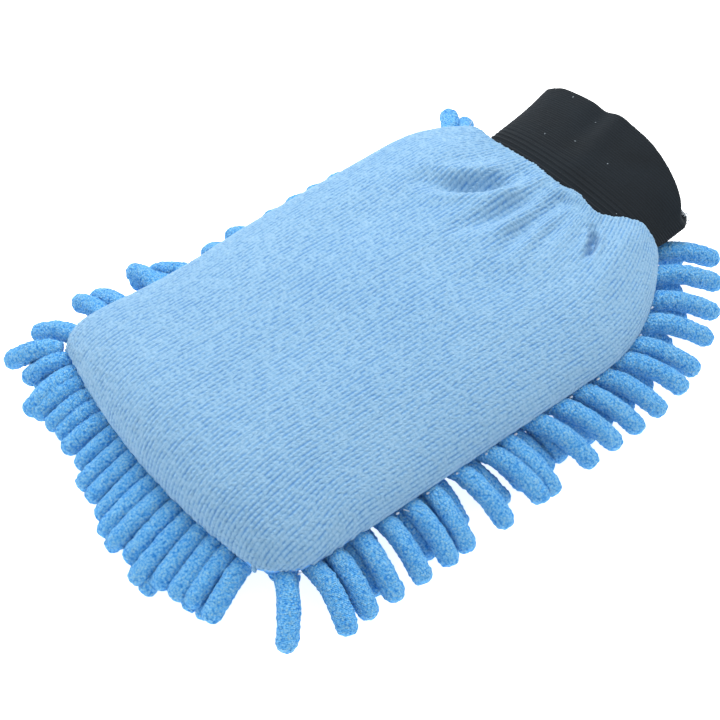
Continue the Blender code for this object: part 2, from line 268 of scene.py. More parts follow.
@dataclass
class Recipe:
    """A material while it is made up: its node tree and its shader."""

    name: str

    def __post_init__(self) -> None:
        """Starts the material."""
        self.material = bpy.data.materials.new(self.name)
        self.material.use_nodes = True
        self.tree = self.material.node_tree
        self.shader = self.tree.nodes["Principled BSDF"]

    def add(
        self, kind: str, *values, output: int | str = 0, stops: dict[float, str] | None = None, **named
    ) -> bpy.types.NodeSocket:
        """Adds a node with its settings, values and links.

        Args:
            kind: the node's type, without its ShaderNode prefix.
            values: a value or a socket for each input in use, from the first on.
            output: which output to hand back.
            stops: a hex colour for each place on a colour ramp, two or more.
            named: the node's own settings in lower case, and inputs by their capitalised names.

        Returns:
            That output.
        """
        node = self.tree.nodes.new("ShaderNode" + kind)
        for name, value in named.items():
            if name.islower():
                setattr(node, name, value)
        pairs = list(zip([socket for socket in node.inputs if socket.enabled], values))
        pairs += [(node.inputs[name], value) for name, value in named.items() if not name.islower()]
        for socket, value in pairs:
            if isinstance(value, bpy.types.NodeSocket):
                self.tree.links.new(value, socket)
            else:
                socket.default_value = value
        if stops:
            elements = node.color_ramp.elements
            while len(elements) < len(stops):
                elements.new(0.5)
            for element, (place, code) in zip(elements, sorted(stops.items())):
                element.position = place
                element.color = linear(code)
        return node.outputs[output]

    def wave(self, place: bpy.types.NodeSocket, axis: str) -> bpy.types.NodeSocket:
        """A cosine along one axis of the coordinates, one wave to a unit."""
        along = self.add("SeparateXYZ", place, output=axis)
        turned = self.add("Math", along, 2 * math.pi, operation="MULTIPLY")
        return self.add("Math", turned, operation="COSINE")

    def weighed(self, *pairs: tuple[bpy.types.NodeSocket, float], base: float = 0.0) -> bpy.types.NodeSocket:
        """Adds up sockets, each times its weight, and a base value."""
        total = base
        for socket, weight in pairs:
            total = self.add("Math", socket, weight, total, operation="MULTIPLY_ADD")
        return total

    def coordinates(self, kind: Coordinates) -> bpy.types.NodeSocket:
        """The coordinates that a pattern is laid out on."""
        if kind is Coordinates.OBJECT:
            return self.add("TexCoord", output="Object")
        if kind is Coordinates.WEAVE:
            return self.add("UVMap", uv_map=kind.value)
        return self.add("Attribute", output="Vector", attribute_name=kind.value)

    def finish(
        self, colour: bpy.types.NodeSocket, height: bpy.types.NodeSocket | None = None,
        depth: float = 0.0, strength: float = 1.0, **constants,
    ) -> bpy.types.Material:
        """Gives the shader its colour, its relief and its constants.

        Args:
            colour: the base colour.
            height: the relief's height, from about 0 to 1.
            depth: what a height of 1 stands for, in metres.
            strength: the relief's strength.
            constants: a value for each of the shader's inputs, with underscores for spaces.

        Returns:
            The material.
        """
        self.tree.links.new(colour, self.shader.inputs["Base Color"])
        if height is not None:
            relief = self.add("Bump", Strength=strength, Distance=depth, Height=height)
            self.tree.links.new(relief, self.shader.inputs["Normal"])
        for name, value in constants.items():
            self.shader.inputs[name.replace("_", " ")].default_value = value
        return self.material


# ---------------------------------------------------------------- finishes


@dataclass(frozen=True)
class TerryFinish:
    """Microfibre terry: ribs of small polyester loops, so it is matt, with a soft bright nap."""

    # The ramp runs from valley, painted shade between the ribs and between the loops, through body, the
    # terry's own blue, to crest, painted light on the rib crests.
    valley: str = "5589c0"
    body: str = "79a6cb"
    crest: str = "93b9d6"
    loop_depth: float = 0.7 * MM
    nap_size: float = 0.8 * MM
    patch_size: float = 1000 / 28 * MM

    def material(self) -> bpy.types.Material:
        """The finish as a material."""
        mix = Recipe("microfibre terry, looped")
        weave = mix.coordinates(Coordinates.WEAVE)
        place = mix.coordinates(Coordinates.OBJECT)
        rib = mix.add("Math", mix.weighed((mix.wave(weave, "X"), 0.5), base=0.5), 0.4, operation="POWER")
        # One loop to a cell, a rib wide and about as long: each cell a little lighter or darker at random,
        # with painted shade at the cells' edges, between the loops.
        cell = mix.add("TexVoronoi", voronoi_dimensions="2D", Vector=weave, Scale=1.0, Randomness=0.55)
        turned = mix.add("SeparateXYZ", cell.node.outputs["Color"], output="X")
        loop = mix.weighed((cell, -1.3), (turned, 0.55), base=0.78)
        nap = mix.add("TexNoise", Vector=place, Scale=1 / self.nap_size, Detail=3.0, Roughness=0.6)
        patch = mix.add("TexNoise", Vector=place, Scale=1 / self.patch_size, Detail=2.0)
        # Painted shade and light: darker in the valleys between the ribs and between the loops, lighter on
        # the rib crests; the nap and the patches are the terry's own random tone.
        shade = mix.weighed((loop, 0.36), (rib, 0.44), (nap, 0.55), (patch, 0.20), base=-0.32)
        return mix.finish(
            mix.add(
                "ValToRGB", shade, output="Color",
                stops={0.14: self.valley, 0.46: self.body, 0.86: self.crest}
            ),
            mix.weighed((nap, 0.7), (loop, 0.6)), self.loop_depth, 0.85,
            Roughness=0.95, Specular_IOR_Level=0.15,
            Sheen_Weight=0.22, Sheen_Roughness=0.6, Sheen_Tint=linear("dcecfb"),
        )


@dataclass(frozen=True)
class ChenilleFinish:
    """Polyester chenille: short dense pile wound on a core, so it is velvety with soft rings."""

    # The ramp runs from deep, painted shade in the crevices between the tufts, through body, the chenille's
    # own blue, to tip, painted light on the tufts' tops.
    deep: str = "2f8fee"
    body: str = "6cc0ff"
    tip: str = "a6dcff"
    ring_pitch: float = 0.62 * MM
    stray_size: float = 1000 / 420 * MM
    pile_size: float = 1.0 * MM
    pile_depth: float = 1.3 * MM
    patch_size: float = 1000 / 130 * MM

    def material(self) -> bpy.types.Material:
        """The finish as a material."""
        mix = Recipe("polyester chenille, wound pile")
        place = mix.coordinates(Coordinates.OBJECT)
        length = mix.add("SeparateXYZ", mix.coordinates(Coordinates.STRAND), output="Z")
        stray = mix.add("TexNoise", Vector=place, Scale=1 / self.stray_size, Detail=2.0)
        turned = mix.weighed((stray, 9.0), (length, 2 * math.pi / self.ring_pitch))
        ring = mix.weighed((mix.add("Math", turned, operation="SINE"), 0.5), base=0.5)
        tufts = mix.add("TexVoronoi", Vector=place, Scale=1 / self.pile_size, Randomness=0.9)
        fluff = mix.add("TexNoise", Vector=place, Scale=1 / self.pile_size, Detail=3.0, Roughness=0.6)
        pile = mix.weighed((fluff, 1.0), (tufts, -0.75), base=0.36)
        patch = mix.add("TexNoise", Vector=place, Scale=1 / self.patch_size, Detail=2.0)
        # Painted shade and light: darker in the crevices between the tufts and in the grooves between the
        # wound rings, lighter on the tufts and the rings; the fluff and the patches are the pile's own random
        # tone.
        shade = mix.weighed((patch, 0.16), (pile, 0.72), (ring, 0.08))
        return mix.finish(
            mix.add(
                "ValToRGB", shade, output="Color", stops={0.20: self.deep, 0.46: self.body, 0.74: self.tip}
            ),
            mix.weighed((ring, 0.30), (pile, 1.0)), self.pile_depth,
            Roughness=0.9, Specular_IOR_Level=0.2,
            Sheen_Weight=0.16, Sheen_Roughness=0.35, Sheen_Tint=linear("9ed2ff"),
        )


@dataclass(frozen=True)
class WovenFinish:
    """Plain woven or knitted polyester, dyed: fine crossed threads, flat and faintly shiny.

    Attributes:
        name: the cloth's common name.
        dark: the colour between the threads, painted shade in the gaps between them.
        light: the colour on them.
        pitch: from thread to thread. The real 0.35 mm is drawn this coarse so that it shows.
    """

    name: str
    dark: str
    light: str
    pitch: float = 0.8 * MM
    fuzz_size: float = 1000 / 900 * MM
    thread_depth: float = 0.2 * MM

    def material(self) -> bpy.types.Material:
        """The finish as a material."""
        mix = Recipe(self.name)
        place = mix.coordinates(Coordinates.OBJECT)
        threads = [
            mix.add(
                "TexWave", output="Fac", bands_direction=way, Vector=place,
                Scale=math.pi / 10 / self.pitch, Distortion=0.6, Detail=1.0,
            )
            for way in ("X", "Y")
        ]
        fuzz = mix.add("TexNoise", Vector=place, Scale=1 / self.fuzz_size, Detail=2.0)
        # Painted shade: darker in the gaps between the crossed threads; the fuzz is the cloth's own random
        # tone.
        shade = mix.weighed((fuzz, 0.5), (mix.add("Math", *threads, operation="MULTIPLY"), 0.5))
        colour = mix.add("ValToRGB", shade, output="Color", stops={0.15: self.dark, 0.75: self.light})
        return mix.finish(colour, shade, self.thread_depth, 0.6, Roughness=0.85, Sheen_Weight=0.15)


@dataclass(frozen=True)
class RibKnitFinish:
    """Charcoal elastic rib knit: matt wales round the wrist, with lint caught on them."""

    # From dark to light: the knit's own charcoal tones, with painted shade in the grooves between the ribs
    # and painted light on their tops.
    dark: str = "04090e"
    light: str = "131d25"
    lint: str = "8a969e"
    fuzz_size: float = 1000 / 1500 * MM
    patch_size: float = 1000 / 45 * MM
    lint_spacing: float = 1000 / 150 * MM
    fuzz_depth: float = 0.3 * MM

    def material(self) -> bpy.types.Material:
        """The finish as a material."""
        mix = Recipe("elastic rib knit, charcoal")
        weave = mix.coordinates(Coordinates.WEAVE)
        place = mix.coordinates(Coordinates.OBJECT)
        rib = mix.weighed((mix.wave(weave, "Y"), 0.5), base=0.5)
        stitch = mix.add("TexVoronoi", voronoi_dimensions="2D", Vector=weave, Scale=2.0, Randomness=0.4)
        fuzz = mix.add("TexNoise", Vector=place, Scale=1 / self.fuzz_size, Detail=3.0, Roughness=0.7)
        patch = mix.add("TexNoise", Vector=place, Scale=1 / self.patch_size, Detail=2.0)
        # Painted shade and light: darker in the grooves between the ribs, lighter on their tops; the fuzz and
        # the patches are the knit's own random tone.
        shade = mix.weighed((patch, 0.35), (fuzz, 0.45), (rib, 0.22))
        ground = mix.add("ValToRGB", shade, output="Color", stops={0.28: self.dark, 0.74: self.light})
        # A fleck of lint here and there, about half a millimetre long.
        stretched = mix.add("Mapping", Vector=place, Scale=(1.0, 1.8, 1.0))
        fleck = mix.add("TexVoronoi", Vector=stretched, Scale=1 / self.lint_spacing)
        picked = mix.add("SeparateXYZ", fleck.node.outputs["Color"], output="X")
        close = mix.add("Math", fleck, 0.07, operation="LESS_THAN")
        chosen = mix.add("Math", picked, 0.62, operation="GREATER_THAN")
        share = mix.add("Math", close, chosen, operation="MULTIPLY")
        return mix.finish(
            mix.add("Mix", share, ground, linear(self.lint), output=2, data_type="RGBA"),
            mix.weighed((stitch, -0.5), (fuzz, 0.7)), self.fuzz_depth, 0.7,
            Roughness=0.93, Specular_IOR_Level=0.25, Sheen_Weight=0.07, Sheen_Tint=linear("aab4bc"),
        )


@dataclass(frozen=True)
class PaperFloorFinish:
    """Matt white studio paper lit from beneath as on a light table: even, with no shine."""

    light: str = "fbfbfc"
    dark: str = "f8f9fa"
    glow: float = 0.80

    def material(self) -> bpy.types.Material:
        """The finish as a material."""
        mix = Recipe("studio paper, matt white")
        grain = mix.add("TexNoise", Vector=mix.coordinates(Coordinates.OBJECT), Scale=3.0)
        return mix.finish(
            mix.add("ValToRGB", grain, output="Color", stops={0.2: self.dark, 0.8: self.light}),
            Roughness=1.0, Specular_IOR_Level=0.0,
            Emission_Color=linear("ffffff"), Emission_Strength=self.glow,
        )


# ---------------------------------------------------------------- the pouch's form


@dataclass(frozen=True)
class Fold:
    """A valley or, with a negative depth, a ridge in the cloth, on one shallow arc.

    Attributes:
        start: where its arc starts, seen from above, on the side away from the cuff.
        heading: the way it runs, in degrees from +X towards +Y.
        length: how far it runs.
        bend: how far the middle of the arc lies to the left of the straight line.
        width: how far to each side it reaches.
        depth: how deep it is.
        shoulders: height of the ridges beside it, as a share of its depth.
        open_end: whether it runs out over the cuff edge instead of fading.
    """

    start: tuple[float, float]
    heading: float
    length: float
    bend: float
    width: float
    depth: float
    shoulders: float = 0.35
    open_end: bool = False

    def line(self) -> np.ndarray:
        """Places along its arc."""
        share = np.linspace(0.0, 1.0, 13)[:, None]
        turn = math.radians(self.heading)
        ahead = np.array([math.cos(turn), math.sin(turn)])
        left = np.array([-math.sin(turn), math.cos(turn)])
        return np.array(self.start) + share * self.length * ahead + 4 * self.bend * share * (1 - share) * left

    def lowering(self, x: np.ndarray, y: np.ndarray) -> np.ndarray:
        """How far the cloth is lowered at each place.

        Args:
            x: places along the mitt.
            y: places across it.

        Returns:
            The lowering, negative on a ridge.
        """
        points = self.line()
        lengths = np.linalg.norm(np.diff(points, axis=0), axis=1)
        before = np.concatenate([[0.0], np.cumsum(lengths)])
        nearest = np.full(x.shape, np.inf)
        share = np.zeros(x.shape)
        here = np.stack([x, y], axis=-1)
        for start, step, length, done in zip(points[:-1], np.diff(points, axis=0), lengths, before):
            part = np.clip(((here - start) @ step) / length**2, 0.0, 1.0)
            away = np.linalg.norm(here - start - part[..., None] * step, axis=-1)
            closer = away < nearest
            nearest = np.where(closer, away, nearest)
            share = np.where(closer, (done + part * length) / before[-1], share)
        fade = eased(share / 0.45)
        if not self.open_end:
            fade = fade * eased((1 - share) / 0.3)
        reach = nearest / self.width
        ridge = self.shoulders * np.exp(-((reach - 1.9) ** 2) * 1.2)
        return self.depth * (np.exp(-(reach**2)) - ridge) * (0.25 + 0.75 * fade)


@dataclass(frozen=True)
class SideLine:
    """One side of the pouch from above: nearly straight, then a round shoulder down to the cuff.

    Attributes:
        half_width: from the middle line out to the seam.
        flare: how much wider it is for each metre towards the cuff.
        waist: how far it draws in at its waist.
        shoulder: where the shoulder starts.
        shoulder_length: how far along the shoulder runs.
        shoulder_drop: how far it falls in over that length.
        roundness: the power of its curve, 2 being a parabola.
    """

    half_width: float
    flare: float
    waist: float
    shoulder: float
    shoulder_length: float
    shoulder_drop: float
    roundness: float
    waist_place: float = -58 * MM
    waist_length: float = 35 * MM

    def at(self, x: np.ndarray | float) -> np.ndarray | float:
        """The half width at x."""
        turned = np.maximum((x - self.shoulder) / self.shoulder_length, 0.0)
        waist = self.waist * np.exp(-(((x - self.waist_place) / self.waist_length) ** 2))
        return self.half_width + self.flare * x - waist - self.shoulder_drop * turned**self.roundness


@dataclass
class PouchForm:
    """The pouch as it lies: a low dome over a seam line, gathered to the cuff at its neck."""

    seam_height: float = 0.026
    crown: float = 0.0212
    neck_crown: float = 0.0176
    finger_roll: float = 0.034
    near_corner: float = 0.026
    far_corner: float = 0.021
    body_powers: tuple[float, float] = (2.5, 2.0)
    neck_powers: tuple[float, float] = (3.4, 2.3)
    near_side: SideLine = SideLine(81.6 * MM, 0.012, 0.0, 50 * MM, 76 * MM, 40.5 * MM, 2.0)
    far_side: SideLine = SideLine(82.5 * MM, 0.0, 3.5 * MM, 62 * MM, 54 * MM, 27 * MM, 3.0)
    neck: float = 0.1028
    near_lobe: float = 0.0138
    far_lobe: float = 0.0035
    folds: tuple[Fold, ...] = (
        Fold((58 * MM, 41 * MM), -35, 44 * MM, -6 * MM, 5.0 * MM, 6.2 * MM, 0.45),
        Fold((48 * MM, 6 * MM), -5, 44 * MM, -3 * MM, 4.4 * MM, 3.4 * MM, 0.5),
        Fold((52 * MM, -17 * MM), 10, 45 * MM, 2 * MM, 3.6 * MM, 2.9 * MM, 0.45, True),
        Fold((64 * MM, -25 * MM), 15, 35 * MM, 1 * MM, 3.4 * MM, 1.6 * MM, 0.45, True),
        Fold((79 * MM, -41 * MM), 35, 20 * MM, -2 * MM, 1.7 * MM, 4.8 * MM, 0.35),
        Fold((60 * MM, -64 * MM), 25, 48 * MM, 2 * MM, 7.5 * MM, -2.6 * MM, 0.0, True),
        Fold((60 * MM, 50 * MM), -5, 32 * MM, 0.0, 13.0 * MM, -2.4 * MM, 0.0),
        Fold((84 * MM, 8 * MM), -10, 14 * MM, 0.0, 5.0 * MM, -1.4 * MM, 0.0, True),
        Fold((20 * MM, -12 * MM), -35, 60 * MM, -3 * MM, 13.0 * MM, 1.6 * MM, 0.0),
        Fold((-10 * MM, 52 * MM), -15, 72 * MM, -2 * MM, 15.0 * MM, 1.5 * MM, 0.0),
    )

    def neck_x(self, y: np.ndarray | float) -> np.ndarray | float:
        """Where the cloth meets the cuff at y: straight, with a lobe at each corner."""
        near = self.near_lobe * eased((-y - 24 * MM) / (20 * MM))
        return self.neck + near + self.far_lobe * eased((y - 38 * MM) / (18 * MM))

    def side(self, x: np.ndarray | float, way: int) -> np.ndarray | float:
        """The half width at x with the finger-end corner rounded, on the near, -1, or far, 1, side."""
        if way < 0:
            return self.near_side.at(x) - self.corner_loss(x - self.start_x(-0.055), self.near_corner)
        return self.far_side.at(x) - self.corner_loss(x - self.start_x(0.062), self.far_corner)

    def start_x(self, y: np.ndarray | float) -> np.ndarray | float:
        """Where the finger end lies at y."""
        return -0.1272 + 1.2 * (y + 0.018) ** 2

    def corner_loss(self, distance: np.ndarray, radius: float) -> np.ndarray:
        """How far a round corner has drawn in, this far from the end."""
        left = 1 - np.clip(distance / radius, 0.0, 1.0)
        return radius * (1 - np.sqrt(np.maximum(1 - left * left, 0.0)))

    def section(self, turn: np.ndarray, powers: tuple[float, float]) -> tuple[np.ndarray, np.ndarray]:
        """A cross-section of the dome, stepped evenly along the cloth.

        Args:
            turn: places from -1 at the near seam to 1 at the far one.
            powers: the section's roundness across and up.

        Returns:
            Shares of the half width and of the height at each place.
        """
        angle = np.linspace(0.0, math.pi, 801)
        across = -np.sign(np.cos(angle)) * np.abs(np.cos(angle)) ** (2 / powers[0])
        up = np.sin(angle) ** (2 / powers[1])
        length = np.concatenate([[0.0], np.cumsum(np.hypot(np.diff(across), np.diff(up) * 0.26))])
        wanted = (turn + 1) / 2 * length[-1]
        return np.interp(wanted, length, across), np.interp(wanted, length, up)

    def travel(self, share: np.ndarray) -> np.ndarray:
        """Share of the plan's length for an even share of the cloth's length."""
        plan = np.linspace(0.0, 1.0, 801)
        rise = self.rise(plan * 0.23) * self.crown
        length = np.concatenate([[0.0], np.cumsum(np.hypot(np.diff(plan) * 0.23, np.diff(rise)))])
        return np.interp(share * length[-1], length, plan)

    def rise(self, distance: np.ndarray) -> np.ndarray:
        """The crown's share of its full height, this far from the finger end."""
        left = 1 - np.clip(distance / self.finger_roll, 0.0, 1.0)
        return np.maximum(1 - left**2.4, 0.0) ** (1 / 2.0)

    def surface(self, share: np.ndarray, turn: np.ndarray) -> np.ndarray:
        """The back of the pouch.

        Args:
            share: places along the cloth from the finger end, 0, to the neck, 1.
            turn: places across the cloth from the near seam, -1, to the far one, 1.

        Returns:
            A grid of places, rows along and columns across.
        """
        plan = self.travel(share)[:, None]
        necked = eased((plan - 0.72) / 0.28)
        body_across, body_up = self.section(turn, self.body_powers)
        neck_across, neck_up = self.section(turn, self.neck_powers)
        across = body_across + (neck_across - body_across) * necked
        up = body_up + (neck_up - body_up) * necked
        begin = self.start_x(across * 0.082)
        end = self.neck_x(across * np.where(across < 0, 0.055, 0.062))
        x = begin + plan * (end - begin)
        near_x, far_x = x[:, :1], x[:, -1:]
        y = across * np.where(across < 0, self.side(near_x, -1), self.side(far_x, 1))
        height = self.rise(plan * 0.23) * (self.crown + (self.neck_crown - self.crown) * necked)
        z = self.seam_height + height * up
        lying = eased((z - self.seam_height) / 0.012)
        for fold in self.folds:
            z = z - fold.lowering(x, y) * lying
        here = np.stack([x, y, np.zeros_like(x)], axis=-1)
        z = z + (rough(here, 0.045, 3) * 0.9 * MM + rough(here, 0.019, 5) * 0.35 * MM) * lying
        sunk = eased((x - 0.090) / 0.008) * np.exp(-((y / 0.047) ** 8))
        z = np.maximum(z, 0.0424 * sunk)
        return np.stack([x, y, z], axis=-1)

    def normals(self, places: np.ndarray) -> np.ndarray:
        """Outward directions of a grid of places."""
        along = np.gradient(places, axis=0)
        across = np.gradient(places, axis=1)
        found = unit(np.cross(along, across))
        return found * np.sign(found[..., 2].sum() or 1.0)

    def rim(self, count: int) -> np.ndarray:
        """Places round the seam line, from the neck along the near side, the end and the far side."""
        share = np.linspace(1.0, 0.0, count)
        sides = self.surface(share, np.array([-1.0, 1.0]))
        end = self.surface(np.array([0.0]), np.linspace(-1.0, 1.0, count // 2))[0]
        return np.concatenate([sides[:, 0], end[1:-1], sides[::-1, 1]])


# ---------------------------------------------------------------- the cloth pieces


@dataclass
class BackPanel:
    """The terry back: ribbed cloth from the side seams up over the hand, curled in at its edges."""

    form: PouchForm
    ribs: int = 86
    near_crowding: float = 0.07
    across_per_rib: int = 4
    rows: int = 282
    rib_height: float = 0.20 * MM
    loop_pitch: float = 2.1 * MM
    loop_height: float = 0.13 * MM
    lip_steps: int = 3
    lip_radius: float = 1.3 * MM
    cut: tuple[float, float] = (0.258, 0.188)

    def cloth(self) -> tuple[np.ndarray, np.ndarray, np.ndarray]:
        """The panel's smooth surface with its ribs and loops raised.

        Returns:
            The places, the rib count across and the loop count along, all as grids.
        """
        share = np.linspace(0.0, 1.0, self.rows + 1)
        turn = np.linspace(-1.0, 1.0, self.ribs * self.across_per_rib + 1)
        places = self.form.surface(share, turn)
        normals = self.form.normals(places)
        steps = np.linalg.norm(np.diff(places, axis=1), axis=-1)
        middle = len(turn) // 2
        run = np.concatenate([np.zeros((len(share), 1)), np.cumsum(steps, axis=1)], axis=1)
        run -= run[:, middle : middle + 1]
        pitch = run[len(share) // 2, -1] * 2 / self.ribs
        even = (turn - self.near_crowding * np.minimum(turn, 0.0) * turn)[None, :] * self.ribs / 2
        gathered = eased((share[:, None] - 0.12) / 0.12)
        across = run / pitch * (1 - gathered) + even * gathered
        along = np.cumsum(np.linalg.norm(np.diff(places, axis=0, prepend=places[:1]), axis=-1), axis=0)
        along = along / self.loop_pitch
        rib = np.round(across)
        jitter = scatter(np.stack([rib, np.zeros_like(rib)], axis=-1), 11)
        loop = np.round(along + jitter)
        size = scatter(np.stack([rib, loop], axis=-1), 12)
        waffled = 1 - eased((share[:, None] - 0.03) / 0.16)
        raised = self.rib_height * (np.cos(2 * math.pi * across) * (1 - 0.25 * waffled) - 0.5)
        wave = np.cos(2 * math.pi * (along + jitter))
        raised += self.loop_height * (0.6 + 0.9 * waffled) * wave * (0.4 + 0.9 * size)
        raised += rough(places, 1.7 * MM, 21) * 0.11 * MM
        return places + normals * raised[..., None], across, along + jitter

    def curl(self, places: np.ndarray) -> np.ndarray:
        """Adds the rows and columns that turn the edges in.

        Args:
            places: the panel's grid of places.

        Returns:
            The grid with the lip round it.
        """
        steps = self.lip_steps
        normals = self.form.normals(self.form.surface(
            np.linspace(0.0, 1.0, places.shape[0]), np.linspace(-1.0, 1.0, places.shape[1])
        ))
        pad = ((steps, steps), (steps, steps), (0, 0))
        rows = np.arange(-steps, places.shape[0] + steps)[:, None]
        columns = np.arange(-steps, places.shape[1] + steps)[None, :]
        over_rows = np.clip(rows, 0, places.shape[0] - 1) - rows
        over_columns = np.clip(columns, 0, places.shape[1] - 1) - columns
        along = unit(np.pad(np.gradient(places, axis=0), pad, mode="edge"))
        across = unit(np.pad(np.gradient(places, axis=1), pad, mode="edge"))
        out = unit(-along * over_rows[..., None] - across * over_columns[..., None])
        count = np.maximum(np.abs(over_rows), np.abs(over_columns))[..., None]
        turn = np.radians(135.0) * count / steps
        base, normal = (np.pad(a, pad, mode="edge") for a in (places, normals))
        swung = normal * np.cos(turn) + out * np.sin(turn)
        moved = base - normal * self.lip_radius + self.lip_radius * swung
        return np.where(count > 0, moved, base)

    def build(self, material: bpy.types.Material) -> bpy.types.Object:
        """Makes the panel.

        Args:
            material: its terry.

        Returns:
            The piece.
        """
        places, across, along = self.cloth()
        steps = self.lip_steps
        whole = self.curl(places)
        mesh = sheet_grid("terry_back", whole)
        write_weave(mesh, np.pad(across, steps, mode="edge"), np.pad(along, steps, mode="edge"))
        outward(mesh, UP)
        piece = new_object("terry_back", mesh, material)
        settle(piece, "terry", "back_panel")
        return piece


@dataclass
class NeckLoops:
    """Cut terry loops that stand out along the neck edge, about one to a rib."""

    form: PouchForm
    count: int = 84
    thread: float = 0.42 * MM
    radius: float = 0.62 * MM

    def loop(self) -> bmesh.types.BMesh:
        """One half ring of thread, standing on the origin."""
        bm = bmesh.new()
        made = bmesh.ops.create_circle(bm, cap_ends=False, segments=6, radius=self.thread)
        bmesh.ops.translate(bm, verts=made["verts"], vec=(self.radius, 0, 0))
        bmesh.ops.spin(
            bm, geom=bm.edges[:], cent=(0, 0, 0), axis=(0, 1, 0), angle=-math.pi * 1.15,
            steps=6, use_duplicate=False,
        )
        bmesh.ops.recalc_face_normals(bm, faces=bm.faces)
        return bm

    def build(self, material: bpy.types.Material) -> bpy.types.Object:
        """Makes the row of loops.

        Args:
            material: the terry's yarn.

        Returns:
            The piece.
        """
        turn = np.linspace(-0.93, 0.93, self.count)
        edge = self.form.surface(np.array([0.985, 1.0]), turn)
        single = mesh_of(self.loop(), "loop")
        bm = bmesh.new()
        for k in range(self.count):
            before = len(bm.verts)
            bm.from_mesh(single)
            bm.verts.ensure_lookup_table()
            fresh = bm.verts[before:]
            out = Vector(edge[1, k] - edge[0, k]).normalized()
            side = Vector(edge[1, min(k + 1, self.count - 1)] - edge[1, max(k - 1, 0)]).normalized()
            lift = side.cross(out).normalized()
            wobble = scatter(np.array([k, 3]), 31) - 0.5
            turned = Matrix((side, lift, out)).transposed().to_4x4()
            size = 0.85 + 0.5 * float(scatter(np.array([k, 4]), 32))
            height = float(0.5 * wobble - 0.9) * MM * (1 if lift.z > 0 else -1)
            place = Vector(edge[1, k]) + out * (0.4 * MM) + lift * height
            bmesh.ops.transform(
                bm, verts=fresh,
                matrix=Matrix.Translation(place) @ turned @ Matrix.Rotation(float(wobble), 4, "Z")
                @ Matrix.Scale(size, 4),
            )
        bpy.data.meshes.remove(single)
        piece = new_object("neck_edge_loops", mesh_of(bm, "neck_edge_loops"), material)
        return settle(piece, "terry")


@dataclass
class PalmBacking:
    """The flat cloth under the hand that carries the chenille, its edge just inside the terry's."""

    form: PouchForm
    height: float = 0.0246
    inset: float = 1.1 * MM
    thickness: float = 1.9 * MM
    rows: int = 110
    columns: int = 90
    cut: tuple[float, float] = (0.236, 0.172)

    def build(self, material: bpy.types.Material) -> bpy.types.Object:
        """Makes the backing.

        Args:
            material: its cloth.

        Returns:
            The piece.
        """
        share = np.linspace(0.0, 1.0, self.rows)
        sides = self.form.surface(share, np.array([-1.0, 1.0]))
        turn = (1 - np.cos(np.linspace(0.0, math.pi, self.columns))) / 2
        near, far = sides[:, :1], sides[:, 1:]
        places = near + (far - near) * turn[None, :, None]
        bow = self.form.start_x(places[0, :, 1]) - places[0, :, 0]
        places[..., 0] += bow[None, :] * (1 - eased(share / 0.3))[:, None]
        places[..., 1] -= (2 * turn[None, :] - 1) * self.inset
        places[..., 0] += 2 * self.inset * (1 - eased(share / 0.2))[:, None]
        wave = rough(places, 0.013, 41) * 0.35 * MM + rough(places, 0.004, 42) * 0.1 * MM
        places[..., 2] = self.height + wave
        piece = cloth("palm_backing_cloth", places, material, self.thickness)
        settle(piece, "chenille", "palm_backing")
        return piece


@dataclass
class Linings:
    """The two thin lining cloths inside, the folded seam edge between them and the palm."""

    form: PouchForm
    thickness: float = 0.8 * MM
    end_share: float = 0.93

    def back(self, material: bpy.types.Material) -> bpy.types.Object:
        """The lining under the terry."""
        share = np.linspace(0.02, self.end_share, 90)
        turn = np.linspace(-0.97, 0.97, 90)
        places = self.form.surface(share, turn)
        places = places - self.form.normals(places) * 3.6 * MM
        places[..., 2] = np.maximum(places[..., 2], 0.0284)
        piece = cloth("back_lining_cloth", places, material, self.thickness, -1.0)
        settle(piece, "lining", "back_lining")
        return piece

    def palm(self, material: bpy.types.Material) -> bpy.types.Object:
        """The lining over the palm."""
        share = np.linspace(0.05, self.end_share, 80)
        sides = self.form.surface(share, np.array([-1.0, 1.0]))
        turn = np.linspace(0.065, 0.935, 70)
        near, far = sides[:, :1], sides[:, 1:]
        places = near + (far - near) * turn[None, :, None]
        places[..., 2] = 0.0274 + rough(places, 0.02, 51) * 0.3 * MM
        piece = settle(cloth("palm_lining_cloth", places, material, self.thickness), "lining", "palm_lining")
        return piece

    def seam_edge(self, material: bpy.types.Material) -> bpy.types.Object:
        """The folded cloth edge left inside the seam."""
        around = self.form.rim(90)[3:-3]
        middle = np.array([-0.01, 0.0, 0.0])
        inward = unit((middle - around) * np.array([1.0, 1.0, 0.0]))
        steps = np.array([8.6, 6.2, 3.9, 3.1, 3.5, 6.0, 9.0])[:, None, None] * MM
        heights = np.array([26.1, 26.2, 26.2, 26.7, 27.2, 27.3, 27.2])[:, None] * MM
        places = around[None] + inward[None] * steps
        places[..., 2] = heights + rough(places, 0.008, 55) * 0.15 * MM
        piece = cloth("seam_edge_cloth", places, material, self.thickness / 2)
        settle(piece, "lining", "edge_seam_allowance")
        return piece


# ---------------------------------------------------------------- the chenille


